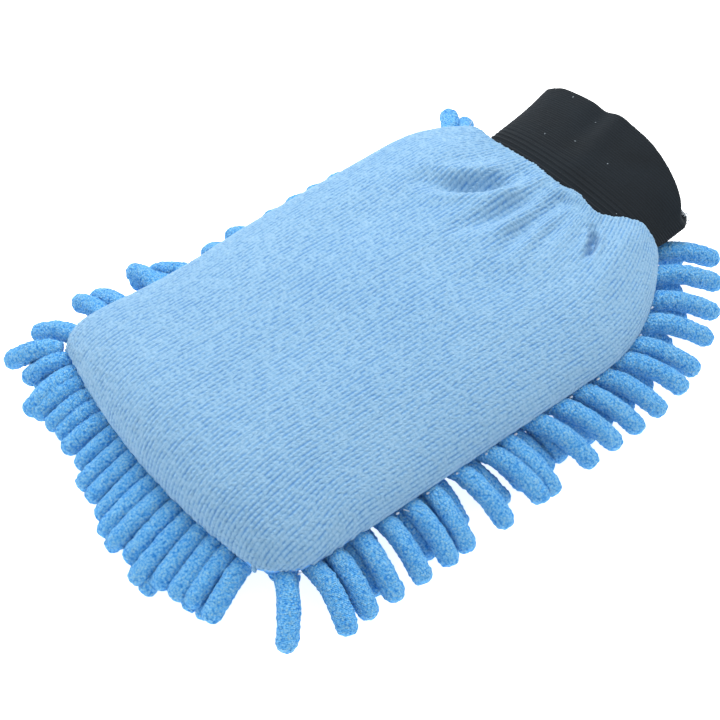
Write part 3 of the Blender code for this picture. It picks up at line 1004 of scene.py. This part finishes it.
@dataclass(frozen=True)
class Finger:
    """One chenille finger.

    Attributes:
        root: where it leaves the backing, in millimetres.
        tip: the middle of its rounded end, in millimetres.
        arch: how far its middle stands up over the straight line, in millimetres.
        swing: how far its middle lies to the side, in millimetres.
        radius: half its thickness, in millimetres.
        detail: how finely it is rounded off.
    """

    root: tuple[float, float, float]
    tip: tuple[float, float, float]
    arch: float = 3.0
    swing: float = 0.0
    radius: float = 4.9
    detail: Detail = Detail.SHOWN

    def line(self, share: np.ndarray) -> np.ndarray:
        """Places along its core.

        Args:
            share: shares of its length.

        Returns:
            A place for each share, in metres.
        """
        a, d = np.array(self.root), np.array(self.tip)
        gone = d - a
        side = unit(np.array([-gone[1], gone[0], 0.0])) * self.swing
        flat = np.array([gone[0], gone[1], 0.0])
        b = a + flat * 0.36 + side + np.array([0, 0, self.arch])
        c = a + gone * 0.76 + side * 0.8 + np.array([0, 0, self.arch * 0.55])
        t = share[:, None]
        places = a * (1 - t) ** 3 + 3 * b * t * (1 - t) ** 2 + 3 * c * t**2 * (1 - t) + d * t**3
        return places * MM


@dataclass
class FingerMaker:
    """Bends a straight chenille finger of a few dozen faces along each finger's core."""

    sides: int = 8
    rings: int = 14
    rope_pitch: float = 2.25 * MM
    rope_height: float = 0.10 * MM
    lump_height: float = 0.34 * MM

    def straight(self) -> bmesh.types.BMesh:
        """A finger one unit long and one in radius, rounded at its tip."""
        bm = bmesh.new()
        bmesh.ops.create_cone(
            bm, cap_ends=True, cap_tris=False, segments=self.sides, radius1=1.0, radius2=1.0, depth=1.0
        )
        bmesh.ops.translate(bm, verts=bm.verts, vec=(0, 0, 0.5))
        for ring in range(1, self.rings):
            bmesh.ops.bisect_plane(
                bm, geom=bm.verts[:] + bm.edges[:] + bm.faces[:], dist=1e-6,
                plane_co=(0, 0, ring / self.rings), plane_no=(0, 0, 1),
            )
        return bm

    def girth(self, share: float, length: float, radius: float) -> float:
        """The finger's thickness this far along, rounded off over its last radius."""
        left = (1 - share) * length / (0.85 * radius)
        cap = math.sqrt(max(1 - max(1 - left, 0.0) ** 2.4, 0.0))
        return (0.90 + 0.12 * float(eased(share / 0.3))) * max(cap, 0.42)

    def bent(self, finger: Finger, straight: bpy.types.Mesh, bm: bmesh.types.BMesh) -> None:
        """Adds one finger to a mesh.

        Args:
            finger: its core line.
            straight: the straight finger.
            bm: the mesh that takes it.
        """
        strand = bm.verts.layers.float_vector.get("strand") or bm.verts.layers.float_vector.new("strand")
        fine = np.linspace(0.0, 1.0, 41)
        core = finger.line(fine)
        run = np.concatenate([[0.0], np.cumsum(np.linalg.norm(np.diff(core, axis=0), axis=1))])
        length, radius = float(run[-1]), finger.radius * MM
        before = len(bm.verts)
        bm.from_mesh(straight)
        bm.verts.ensure_lookup_table()
        for vertex in bm.verts[before:]:
            share = vertex.co.z
            where = 1 - (1 - share) ** 1.25
            at = np.array([np.interp(where * length, run, core[:, k]) for k in range(3)])
            onward = min(where * length + 0.0008, length)
            ahead = np.array([np.interp(onward, run, core[:, k]) for k in range(3)])
            back = np.array([np.interp(max(where * length - 0.0008, 0.0), run, core[:, k]) for k in range(3)])
            way = Vector(ahead - back).normalized()
            side = way.cross(Vector((0, 0, 1)))
            side = side.normalized() if side.length > 0.05 else Vector((0, 1, 0))
            up = side.cross(way)
            around = (side * vertex.co.x + up * vertex.co.y) * radius * self.girth(where, length, radius)
            vertex[strand] = (vertex.co.x, vertex.co.y, where * length)
            vertex.co = Vector(at) + around

    def rounded(self, bm: bmesh.types.BMesh, levels: int, seed: int) -> bpy.types.Mesh:
        """Rounds off the fingers and raises the wound pile on them.

        Args:
            bm: the coarse fingers.
            levels: how often they are subdivided.
            seed: picks another field of lumps.

        Returns:
            The finished mesh.
        """
        bmesh.ops.recalc_face_normals(bm, faces=bm.faces)
        coarse = bpy.data.objects.new("coarse", mesh_of(bm, "coarse"))
        bpy.context.scene.collection.objects.link(coarse)
        smooth = coarse.modifiers.new("round", "SUBSURF")
        smooth.levels = smooth.render_levels = levels
        depsgraph = bpy.context.evaluated_depsgraph_get()
        mesh = bpy.data.meshes.new_from_object(coarse.evaluated_get(depsgraph))
        bpy.data.objects.remove(coarse)
        count = len(mesh.vertices)
        places, normals, strand = (np.empty(count * 3, np.float32) for _ in range(3))
        mesh.vertices.foreach_get("co", places)
        mesh.vertices.foreach_get("normal", normals)
        mesh.attributes["strand"].data.foreach_get("vector", strand)
        places, normals, strand = (a.reshape(-1, 3).astype(float) for a in (places, normals, strand))
        angle = np.arctan2(strand[:, 1], strand[:, 0])
        rope = np.sin(2 * math.pi * strand[:, 2] / self.rope_pitch + angle)
        lumps = 0.8 * rough(places, 2.0 * MM, seed) + 0.8 * rough(places, 1.1 * MM, seed + 1)
        raised = self.rope_height * rope + self.lump_height * lumps
        places += normals * raised[:, None]
        mesh.vertices.foreach_set("co", places.astype(np.float32).ravel())
        mesh.update()
        return mesh


@dataclass
class ChenilleRow:
    """One row of chenille: the core cord it is wound from and the fingers that hang from it."""

    number: int
    maker: FingerMaker
    fringe: list[Finger] = field(default_factory=list)
    count_under: int = 15
    span: float = 70.0
    core_height: float = 0.0222
    core_radius: float = 1.25 * MM

    def hidden(self) -> list[Finger]:
        """The fingers that lie between the palm and whatever the mitt rests on."""
        low, high = (np.array(corner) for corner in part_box(f"row_stitch_{self.number:02d}"))
        x = float(low[0] + high[0]) / 2 / MM
        made = []
        for k, y in enumerate(np.linspace(-self.span, self.span, self.count_under)):
            draw = [float(scatter(np.array([self.number, k, n]), 61)) for n in range(4)]
            along = (9 + 19 * draw[0]) * (1 if (k + self.number) % 2 else -1)
            if self.number <= 2:
                along = abs(along) * 0.6
            across = (draw[1] - 0.5) * 26
            made.append(Finger(
                (x, y, 20.5), (x + along, float(np.clip(y + across, -86, 86)), 4.9 + 1.6 * draw[2]),
                -6.0 * draw[3], 0.0, 4.7, Detail.HIDDEN,
            ))
        return made

    def core(self, bm: bmesh.types.BMesh) -> None:
        """Adds the cord under the stitching."""
        low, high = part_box(f"row_stitch_{self.number:02d}")
        made = bmesh.ops.create_cone(
            bm, cap_ends=True, segments=10, radius1=self.core_radius, radius2=self.core_radius,
            depth=high[1] - low[1],
        )
        bmesh.ops.rotate(bm, verts=made["verts"], cent=(0, 0, 0), matrix=Matrix.Rotation(math.pi / 2, 3, "X"))
        place = ((low[0] + high[0]) / 2, (low[1] + high[1]) / 2, self.core_height)
        bmesh.ops.translate(bm, verts=made["verts"], vec=place)

    def build(self, material: bpy.types.Material) -> bpy.types.Object:
        """Makes the row.

        Args:
            material: its chenille.

        Returns:
            The piece.
        """
        straight = mesh_of(self.maker.straight(), "straight")
        whole = bmesh.new()
        for detail in Detail:
            fingers = [f for f in self.fringe + self.hidden() if f.detail is detail]
            if not fingers:
                continue
            bm = bmesh.new()
            for finger in fingers:
                self.maker.bent(finger, straight, bm)
            part = self.maker.rounded(bm, detail.value, 70 + self.number)
            whole.from_mesh(part)
            bpy.data.meshes.remove(part)
        self.core(whole)
        bpy.data.meshes.remove(straight)
        name = f"chenille_fingers_{self.number:02d}"
        piece = new_object(name, mesh_of(whole, name), material)
        return settle(piece, "chenille", f"chenille_row_{self.number:02d}")


@dataclass
class Fringe:
    """The fingers that show round the mitt, laid out along the seam, in millimetres.

    Attributes:
        form: the pouch they hang from.
        reach: how far a finger stands out past the seam.
        reach_growth: how much more for each millimetre towards the cuff.
        under_reach: how far the layer under it does.
        pitch: between fingers along the long sides.
        tucked_reach: how far the middle ones of the far side stand out.
        end_count: fingers at the finger end.
        end_reach: how far those stand out, and end_swell: how much more about the middle.
    """

    form: PouchForm
    reach: float = 28.0
    under_reach: float = 15.0
    reach_growth: float = 0.03
    pitch: float = 12.6
    tucked_reach: float = 12.0
    end_count: int = 19
    end_reach: float = 17.0
    end_swell: float = 11.0
    end_span: tuple[float, float] = (79.0, -57.0)
    side_span: tuple[float, float] = (-118.0, 121.5)

    def draw(self, *place: int) -> float:
        """An even draw from -1 to 1 that is the same each run, from up to three whole numbers."""
        return 2 * float(scatter(np.array(place), 81)) - 1

    def finger_end(self) -> list[Finger]:
        """The fingers at the finger end, two layers of them, fanned out from the middle."""
        made = []
        for n, y in enumerate(np.linspace(*self.end_span, self.end_count)):
            swell = self.end_swell * math.exp(-(((y + 18) / 32) ** 2))
            tip_x = float(self.form.start_x(y * MM)) / MM - self.end_reach - swell + 3.2 * self.draw(n, 1)
            tip_y = 1.14 * y + 7 * float(eased((y - 62) / 17)) + 1.8 * self.draw(n, 2)
            made.append(Finger(
                (-114, y, 19.2), (tip_x, tip_y, 8.6 + self.draw(n, 3)),
                3.0 + self.draw(n, 4), 0.0, 4.8 + 0.15 * self.draw(n, 5),
            ))
            if n % 3:
                under_tip = (tip_x + 3.0 * self.draw(n, 6), tip_y - 4.8, 4.9)
                made.append(Finger((-114, y - 3, 16), under_tip, 0.0, 0.0, 4.4))
        return made

    def along_side(self, way: int) -> list[Finger]:
        """The fingers along the near, -1, or far, 1, side, each square to the seam but for its lean.

        One draw sets a finger's shift, lean, reach, height and swing together.

        Args:
            way: the side.

        Returns:
            An upper and an under finger for each step of the pitch.
        """
        made = []
        steps = int((self.side_span[1] - self.side_span[0]) / self.pitch) + 1
        for n in range(steps):
            for under in (False, True):
                drawn = self.draw(n, way, under)
                x = self.side_span[0] + (n + 0.5 * under) * self.pitch + 2.0 * drawn
                width = float(self.form.side(x * MM, way)) / MM
                slope = (float(self.form.side((x + 2) * MM, way)) / MM - width) / 2
                square = unit(np.array([-slope, way]))
                lean = (0.33 + 0.0045 * x if way < 0 else 0.0015 * x) + 0.25 * drawn
                out = unit(square + np.array([lean, 0.0]))
                reach = self.under_reach if under else self.reach + self.reach_growth * x
                if way > 0:
                    showing = max(float(eased((-x - 30) / 15)), float(eased((x - 82) / 12)))
                    reach = self.tucked_reach + (reach - self.tucked_reach) * showing
                reach += 2.5 * drawn
                edge = np.array([x, way * width])
                root, tip = edge - 7 * square, edge + reach * out
                height = 5.2 if under else 9.2 + 1.5 * drawn
                made.append(Finger(
                    (*root, 16.5 if under else 19.4), (*tip, height),
                    0.0 if under else 4.5, -way * 2.2 * (1 + drawn) * (not under),
                ))
        return made

    def cuff_end(self) -> list[Finger]:
        """The fingers of the last row that lie under the cuff."""
        made = []
        for n, y in enumerate(np.linspace(-38, 42, 9)):
            reach = 21.5 + 4.5 * self.draw(n, 7)
            made.append(Finger((97, y, 18.0), (97 + reach, y * 1.1, 5.5 + 3 * (n % 2)), 0.0, 0.0, 4.6))
        return made

    def fingers(self) -> list[Finger]:
        """Every finger that shows."""
        return self.finger_end() + self.along_side(-1) + self.along_side(1) + self.cuff_end()

    def by_row(self, rows: dict[int, float]) -> dict[int, list[Finger]]:
        """Shares the fingers out among the rows.

        Args:
            rows: each row's place along the mitt, in millimetres.

        Returns:
            The fingers of each row.
        """
        shared: dict[int, list[Finger]] = {number: [] for number in rows}
        for finger in self.fingers():
            nearest = min(rows, key=lambda number: abs(rows[number] - finger.root[0]))
            shared[nearest].append(finger)
        return shared


# ---------------------------------------------------------------- the cuff


@dataclass
class Cuff:
    """The elastic cuff: one knitted band folded double at the mouth, with its side seam inside."""

    join_x: float = 0.0975
    join_side: tuple[float, float] = (-0.0505, 0.0480)
    mouth_side: tuple[float, float] = (-0.0470, 0.0622)
    join_height: tuple[float, float] = (0.0262, 0.0418)
    mouth_height: tuple[float, float] = (0.0190, 0.0405)
    power: float = 1.9
    wall: float = 2.9 * MM
    rib_pitch: float = 1.5 * MM
    rib_height: float = 0.08 * MM
    across: int = 176
    mouth: float = 0.1615
    near_sweep: float = 0.022
    sweep_span: tuple[float, float] = (0.014, -0.047)
    far_round: float = 0.0045

    def mouth_x(self, y: np.ndarray) -> np.ndarray:
        """Where the mouth lies at y: swept back to the near side, rounded a little at the far one."""
        start, end = self.sweep_span
        swept = np.maximum((start - y) / (start - end), 0.0) ** 2
        return self.mouth - self.near_sweep * swept - self.far_round * eased((y - 0.052) / 0.014)

    def band(self, share: np.ndarray, turn: np.ndarray, depth: np.ndarray) -> np.ndarray:
        """Places on the band.

        Args:
            share: rows x 1, from the join, 0, to the mouth, 1.
            turn: 1 x columns, the angle round the wrist from +Y over the top.
            depth: rows x 1, how far inside the outer face.

        Returns:
            Rows x columns x 3 places.
        """
        cosine, sine = np.cos(turn), np.sin(turn)
        across = np.sign(cosine) * np.abs(cosine) ** (2 / self.power)
        up = np.sign(sine) * np.abs(sine) ** (2 / self.power)
        low = self.join_side[0] + (self.mouth_side[0] - self.join_side[0]) * share
        high = self.join_side[1] + (self.mouth_side[1] - self.join_side[1]) * share
        y = (low + high) / 2 + across * ((high - low) / 2 - depth)
        opening = eased(share / 0.8)
        bottom = self.join_height[0] + (self.mouth_height[0] - self.join_height[0]) * opening
        top = self.join_height[1] + (self.mouth_height[1] - self.join_height[1]) * opening
        z = (bottom + top) / 2 + up * ((top - bottom) / 2 - depth)
        reach = self.mouth_x(y)
        lower = eased(-up * 1.5) * np.exp(-(((y + 0.043) / 0.010) ** 2)) * 0.006
        drawn = eased(up * 2.0) * np.exp(-(((y + 0.047) / 0.0055) ** 2)) * 0.005
        x = self.join_x + share * (reach + lower - drawn - self.join_x)
        upper = eased((up + 0.2) / 0.8)
        dent = np.exp(-(((y - 0.0265 + (1 - share) * 0.016) / 0.0052) ** 2)) * eased((share - 0.25) / 0.6)
        ridge = np.exp(-(((y - 0.0165 + (1 - share) * 0.018) / 0.0058) ** 2)) * eased((share - 0.1) / 0.6)
        belly = np.exp(-(((y + 0.012) / 0.024) ** 2)) * eased(share / 0.6)
        z = z + upper * (ridge * 1.2 * MM - dent * 1.5 * MM + belly * 0.8 * MM)
        z = z - upper * eased((-y - 0.028) / 0.02) * share * 1.5 * MM
        here = np.stack([x, y, z], axis=-1)
        here[..., 2] += rough(here, 0.016, 91) * 0.35 * MM * upper
        return here

    def build(self, material: bpy.types.Material) -> bpy.types.Object:
        """Makes the band.

        Args:
            material: its knit.

        Returns:
            The piece.
        """
        length = 0.058
        fold = self.wall / 2 / length
        outer_rows = int(round(length / self.rib_pitch)) * 4
        outer = np.linspace(0.0, 1.0 - fold, outer_rows)
        bend = np.linspace(0.0, math.pi, 12)[1:-1]
        inner = np.linspace(1.0 - fold, 0.04, 60)
        share = np.concatenate([outer, 1 - fold + fold * np.sin(bend), inner])[:, None]
        depth = np.concatenate([
            np.zeros(outer_rows), self.wall / 2 * (1 - np.cos(bend)), np.full(60, self.wall)
        ])[:, None]
        turn = np.linspace(0.0, 2 * math.pi, self.across + 1)[None, :]
        places = self.band(share, turn, depth)
        normals = unit(np.cross(np.gradient(places, axis=1), np.gradient(places, axis=0)))
        normals[:, [0, -1]] = unit(normals[:, [0]] + normals[:, [-1]])
        centre = places.mean(axis=1, keepdims=True)
        sign = np.sign(((places - centre) * normals).sum(axis=-1).mean(axis=1))[:outer_rows].mean()
        normals *= np.sign(sign)
        run = np.cumsum(np.linalg.norm(np.diff(places, axis=0, prepend=places[:1]), axis=-1), axis=0)
        ribs = run / self.rib_pitch
        gathered = np.exp(-((share / 0.30) ** 2))
        raised = self.rib_height * np.cos(2 * math.pi * ribs)
        raised += gathered * 0.32 * MM * np.cos(2 * math.pi * ribs / 2.2)
        raised += rough(places, 1.3 * MM, 92) * 0.06 * MM
        outside = (np.arange(len(share)) < outer_rows + 6)[:, None, None]
        places = places + normals * raised[..., None] * outside
        paces = np.linalg.norm(np.diff(places, axis=1, prepend=places[:, :1]), axis=-1)
        around = np.cumsum(paces, axis=1) / self.rib_pitch
        places[:, -1] = places[:, 0]
        mesh = sheet_grid("knitted_cuff", places, around=True)
        write_weave(mesh, around, ribs)
        outward(mesh)
        piece = new_object("knitted_cuff", mesh, material)
        settle(piece, "cuff_knit", "cuff")
        return piece


@dataclass
class StitchWork:
    """The sewing that shows: tacks at the rows' ends, the cuff's side seam, and stray thread ends."""

    form: PouchForm
    tack_radius: float = 0.55 * MM
    tape: tuple[float, float] = (5.5 * MM, 1.0 * MM)
    loop_thread: float = 0.16 * MM
    loop_radius: float = 1.5 * MM
    loops: int = 26
    mouth_loops: int = 4
    seam_start: tuple[float, float, float] = (102 * MM, -42.5 * MM, 32.5 * MM)
    seam_end: tuple[float, float, float] = (143.5 * MM, -41.0 * MM, 27.5 * MM)

    def tacks(self, rows: dict[int, float], material: bpy.types.Material) -> bpy.types.Object:
        """The knots where each row's stitching ends, just under the edge.

        Args:
            rows: each row's place along the mitt, in millimetres.
            material: their thread.

        Returns:
            The piece.
        """
        bm = bmesh.new()
        for x in rows.values():
            near = float(self.form.side((x + 6) * MM, -1))
            far = float(self.form.side((x + 6) * MM, 1))
            for y in (-near - 0.4 * MM, far - 2.0 * MM):
                made = bmesh.ops.create_icosphere(bm, subdivisions=2, radius=self.tack_radius)
                bmesh.ops.scale(bm, verts=made["verts"], vec=(1.7, 0.9, 0.8))
                bmesh.ops.translate(bm, verts=made["verts"], vec=((x + 6) * MM, y, 23.4 * MM))
        piece = new_object("row_end_tacks", mesh_of(bm, "row_end_tacks"), material)
        return settle(piece, "seam_thread")

    def along_seam(self, share: float) -> Vector:
        """A place on the side seam's line."""
        return Vector(self.seam_start).lerp(Vector(self.seam_end), share)

    def side_seam(self, material: bpy.types.Material) -> bpy.types.Object:
        """The folded edge inside the cuff's side seam.

        Args:
            material: its knit.

        Returns:
            The piece.
        """
        bm = bmesh.new()
        bmesh.ops.create_cube(bm, size=1.0)
        for cut in range(1, 16):
            bmesh.ops.bisect_plane(
                bm, geom=bm.verts[:] + bm.edges[:] + bm.faces[:], dist=1e-6,
                plane_co=(cut / 16 - 0.5, 0, 0), plane_no=(1, 0, 0),
            )
        for vertex in bm.verts:
            share = vertex.co.x + 0.5
            sway = 0.4 * MM * math.sin(share * 19)
            across = Vector((0, vertex.co.y * self.tape[0] + sway, vertex.co.z * self.tape[1]))
            vertex.co = self.along_seam(share) + across
        bmesh.ops.recalc_face_normals(bm, faces=bm.faces)
        mesh = mesh_of(bm, "cuff_side_seam_tape")
        piece = new_object("cuff_side_seam_tape", mesh, material)
        rounded = piece.modifiers.new("soft edges", "BEVEL")
        rounded.width, rounded.segments = 0.4 * MM, 2
        return settle(piece, "cuff_knit", "cuff_side_seam")

    def overlock(self, material: bpy.types.Material) -> bpy.types.Object:
        """The thread loops that bind the side seam and stand out at the mouth.

        Args:
            material: their thread.

        Returns:
            The piece.
        """
        bm = bmesh.new()
        spots = [(self.along_seam((n + 0.5) / self.loops), 1.0) for n in range(self.loops)]
        for n in range(self.mouth_loops):
            shift = [2.4 * (float(scatter(np.array([n, k]), 97)) - 0.5) * MM for k in range(3)]
            spots.append((self.along_seam(1.06) + Vector(shift), 1.25))
        for n, (place, size) in enumerate(spots):
            made = bmesh.ops.create_circle(bm, cap_ends=False, segments=5, radius=self.loop_thread)["verts"]
            bmesh.ops.translate(bm, verts=made, vec=(self.loop_radius * size, 0, 0))
            edges = list({edge for vertex in made for edge in vertex.link_edges})
            bmesh.ops.spin(
                bm, geom=edges, cent=(0, 0, 0), axis=(0, 1, 0), angle=2 * math.pi, steps=10, use_merge=True
            )
            ring = [vertex for vertex in bm.verts if vertex.index == -1 or not vertex.tag]
            tilt = Matrix.Rotation((float(scatter(np.array([n, 7]), 95)) - 0.5) * 1.4, 3, "X")
            turn = Matrix.Rotation(math.pi / 2 + (float(scatter(np.array([n, 8]), 96)) - 0.5), 3, "Z")
            bmesh.ops.rotate(bm, verts=ring, cent=(0, 0, 0), matrix=turn @ tilt)
            bmesh.ops.translate(bm, verts=ring, vec=place)
            for vertex in ring:
                vertex.tag = True
        bmesh.ops.recalc_face_normals(bm, faces=bm.faces)
        piece = new_object("overlock_loops", mesh_of(bm, "overlock_loops"), material)
        return settle(piece, "seam_thread")

    def thread_ends(self, material: bpy.types.Material) -> bpy.types.Object:
        """A few stray ends of thread, a few millimetres long.

        Args:
            material: their thread.

        Returns:
            The piece.
        """
        mouth = self.along_seam(1.1) + Vector((2 * MM, 4 * MM, 5.5 * MM))
        corner = Vector((self.form.neck_x(0.062), 0.062, 0.035))
        edges = [Vector((x, -self.form.side(x, -1) - 1 * MM, 24.5 * MM)) for x in (-0.06, 0.03)]
        ends = [(corner, corner + Vector((11, 6, 3)) * MM), (mouth, mouth + Vector((3.5, -2, 2)) * MM)]
        ends += [(edge, edge + Vector((3, -2, -2)) * MM) for edge in edges]
        bm = bmesh.new()
        for start, end in ends:
            made = bmesh.ops.create_cone(
                bm, cap_ends=True, segments=5, radius1=self.loop_thread, radius2=self.loop_thread * 0.6,
                depth=(end - start).length,
            )["verts"]
            turned = (end - start).to_track_quat("Z", "Y").to_matrix()
            bmesh.ops.rotate(bm, verts=made, cent=(0, 0, 0), matrix=turned)
            bmesh.ops.translate(bm, verts=made, vec=(start + end) / 2)
        piece = new_object("stray_thread_ends", mesh_of(bm, "stray_thread_ends"), material)
        return settle(piece, "seam_thread")


# ---------------------------------------------------------------- the studio


@dataclass
class Studio:
    """White paper, soft light from above and from the far side, and the camera."""

    target: tuple[float, float, float] = (-0.0085, 0.006, 0.0)
    distance: float = 0.755
    azimuth: float = -40.0
    elevation: float = 48.5
    lens: float = 85.0

    def floor(self, material: bpy.types.Material) -> bpy.types.Object:
        """The paper under the mitt."""
        bm = bmesh.new()
        bmesh.ops.create_grid(bm, x_segments=2, y_segments=2, size=4.0)
        piece = new_object("floor", mesh_of(bm, "floor"), material)
        return piece

    def lamp(self, name: str, place: tuple[float, float, float], size: float, power: float) -> None:
        """A square soft light aimed at the mitt."""
        data = bpy.data.lights.new(name, "AREA")
        data.shape = "SQUARE"
        data.size = size
        data.energy = power
        lamp = bpy.data.objects.new(name, data)
        bpy.context.scene.collection.objects.link(lamp)
        lamp.location = place
        lamp.rotation_euler = (Vector(self.target) - Vector(place)).to_track_quat("-Z", "Y").to_euler()

    def light(self) -> None:
        """Hangs the lights and sets the white surround."""
        world = bpy.data.worlds.new("white surround")
        bpy.context.scene.world = world
        world.use_nodes = True
        world.node_tree.nodes["Background"].inputs["Color"].default_value = linear("ffffff")
        world.node_tree.nodes["Background"].inputs["Strength"].default_value = 0.84
        self.lamp("overhead", (0.50, 0.50, 1.10), 0.8, 13.5)
        self.lamp("far side", (-0.30, 1.10, 0.70), 0.7, 3.6)

    def camera(self) -> None:
        """Sets up the camera."""
        azimuth, elevation = math.radians(self.azimuth), math.radians(self.elevation)
        back = Vector((
            math.sin(azimuth) * math.cos(elevation),
            -math.cos(azimuth) * math.cos(elevation),
            math.sin(elevation),
        ))
        data = bpy.data.cameras.new("camera")
        data.lens = self.lens
        data.sensor_width = 36.0
        data.clip_start = 0.01
        camera = bpy.data.objects.new("camera", data)
        bpy.context.scene.collection.objects.link(camera)
        camera.location = Vector(self.target) + back * self.distance
        camera.rotation_euler = (-back).to_track_quat("-Z", "Y").to_euler()
        bpy.context.scene.camera = camera
        bpy.context.scene.view_settings.view_transform = "Standard"


def dress_kept_nodes(thread: bpy.types.Material) -> None:
    """Gives the CAD's seams and row stitches, which stay, their sewing thread."""
    for name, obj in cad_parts.items():
        if name.startswith("row_stitch") or name == "cuff_join_seam":
            obj.data.materials[0] = thread


def main() -> None:
    """Builds the mitt piece by piece."""
    logging.basicConfig(level=logging.INFO, format="%(name)s: %(message)s")
    studio = Studio()
    studio.camera()
    studio.light()
    studio.floor(PaperFloorFinish().material())
    terry = TerryFinish().material()
    chenille = ChenilleFinish().material()
    knit = RibKnitFinish().material()
    backing = WovenFinish("polyester tricot, sky blue", "48a0ea", "6cb8f4").material()
    lining = WovenFinish("polyester lining, pale blue", "9fc4e6", "c4dcf2").material()
    thread = WovenFinish("polyester sewing thread", "c9d6e2", "eef3f8", 0.4 * MM).material()
    form = PouchForm()
    built = [BackPanel(form).build(terry), NeckLoops(form).build(terry), PalmBacking(form).build(backing)]
    linings = Linings(form)
    built += [linings.back(lining), linings.palm(lining), linings.seam_edge(lining)]
    rows = {}
    for number in range(1, 15):
        low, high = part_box(f"row_stitch_{number:02d}")
        rows[number] = (low[0] + high[0]) / 2 / MM
    shared = Fringe(form).by_row(rows)
    maker = FingerMaker()
    built += [ChenilleRow(number, maker, shared[number]).build(chenille) for number in rows]
    built.append(Cuff().build(knit))
    sewing = StitchWork(form)
    built += [sewing.tacks(rows, thread), sewing.side_seam(knit)]
    built += [sewing.overlock(thread), sewing.thread_ends(thread)]
    dress_kept_nodes(thread)
    for piece in built:
        log.info("%s: %d faces", piece.name, len(piece.data.polygons))


if __name__ == "__main__":
    main()
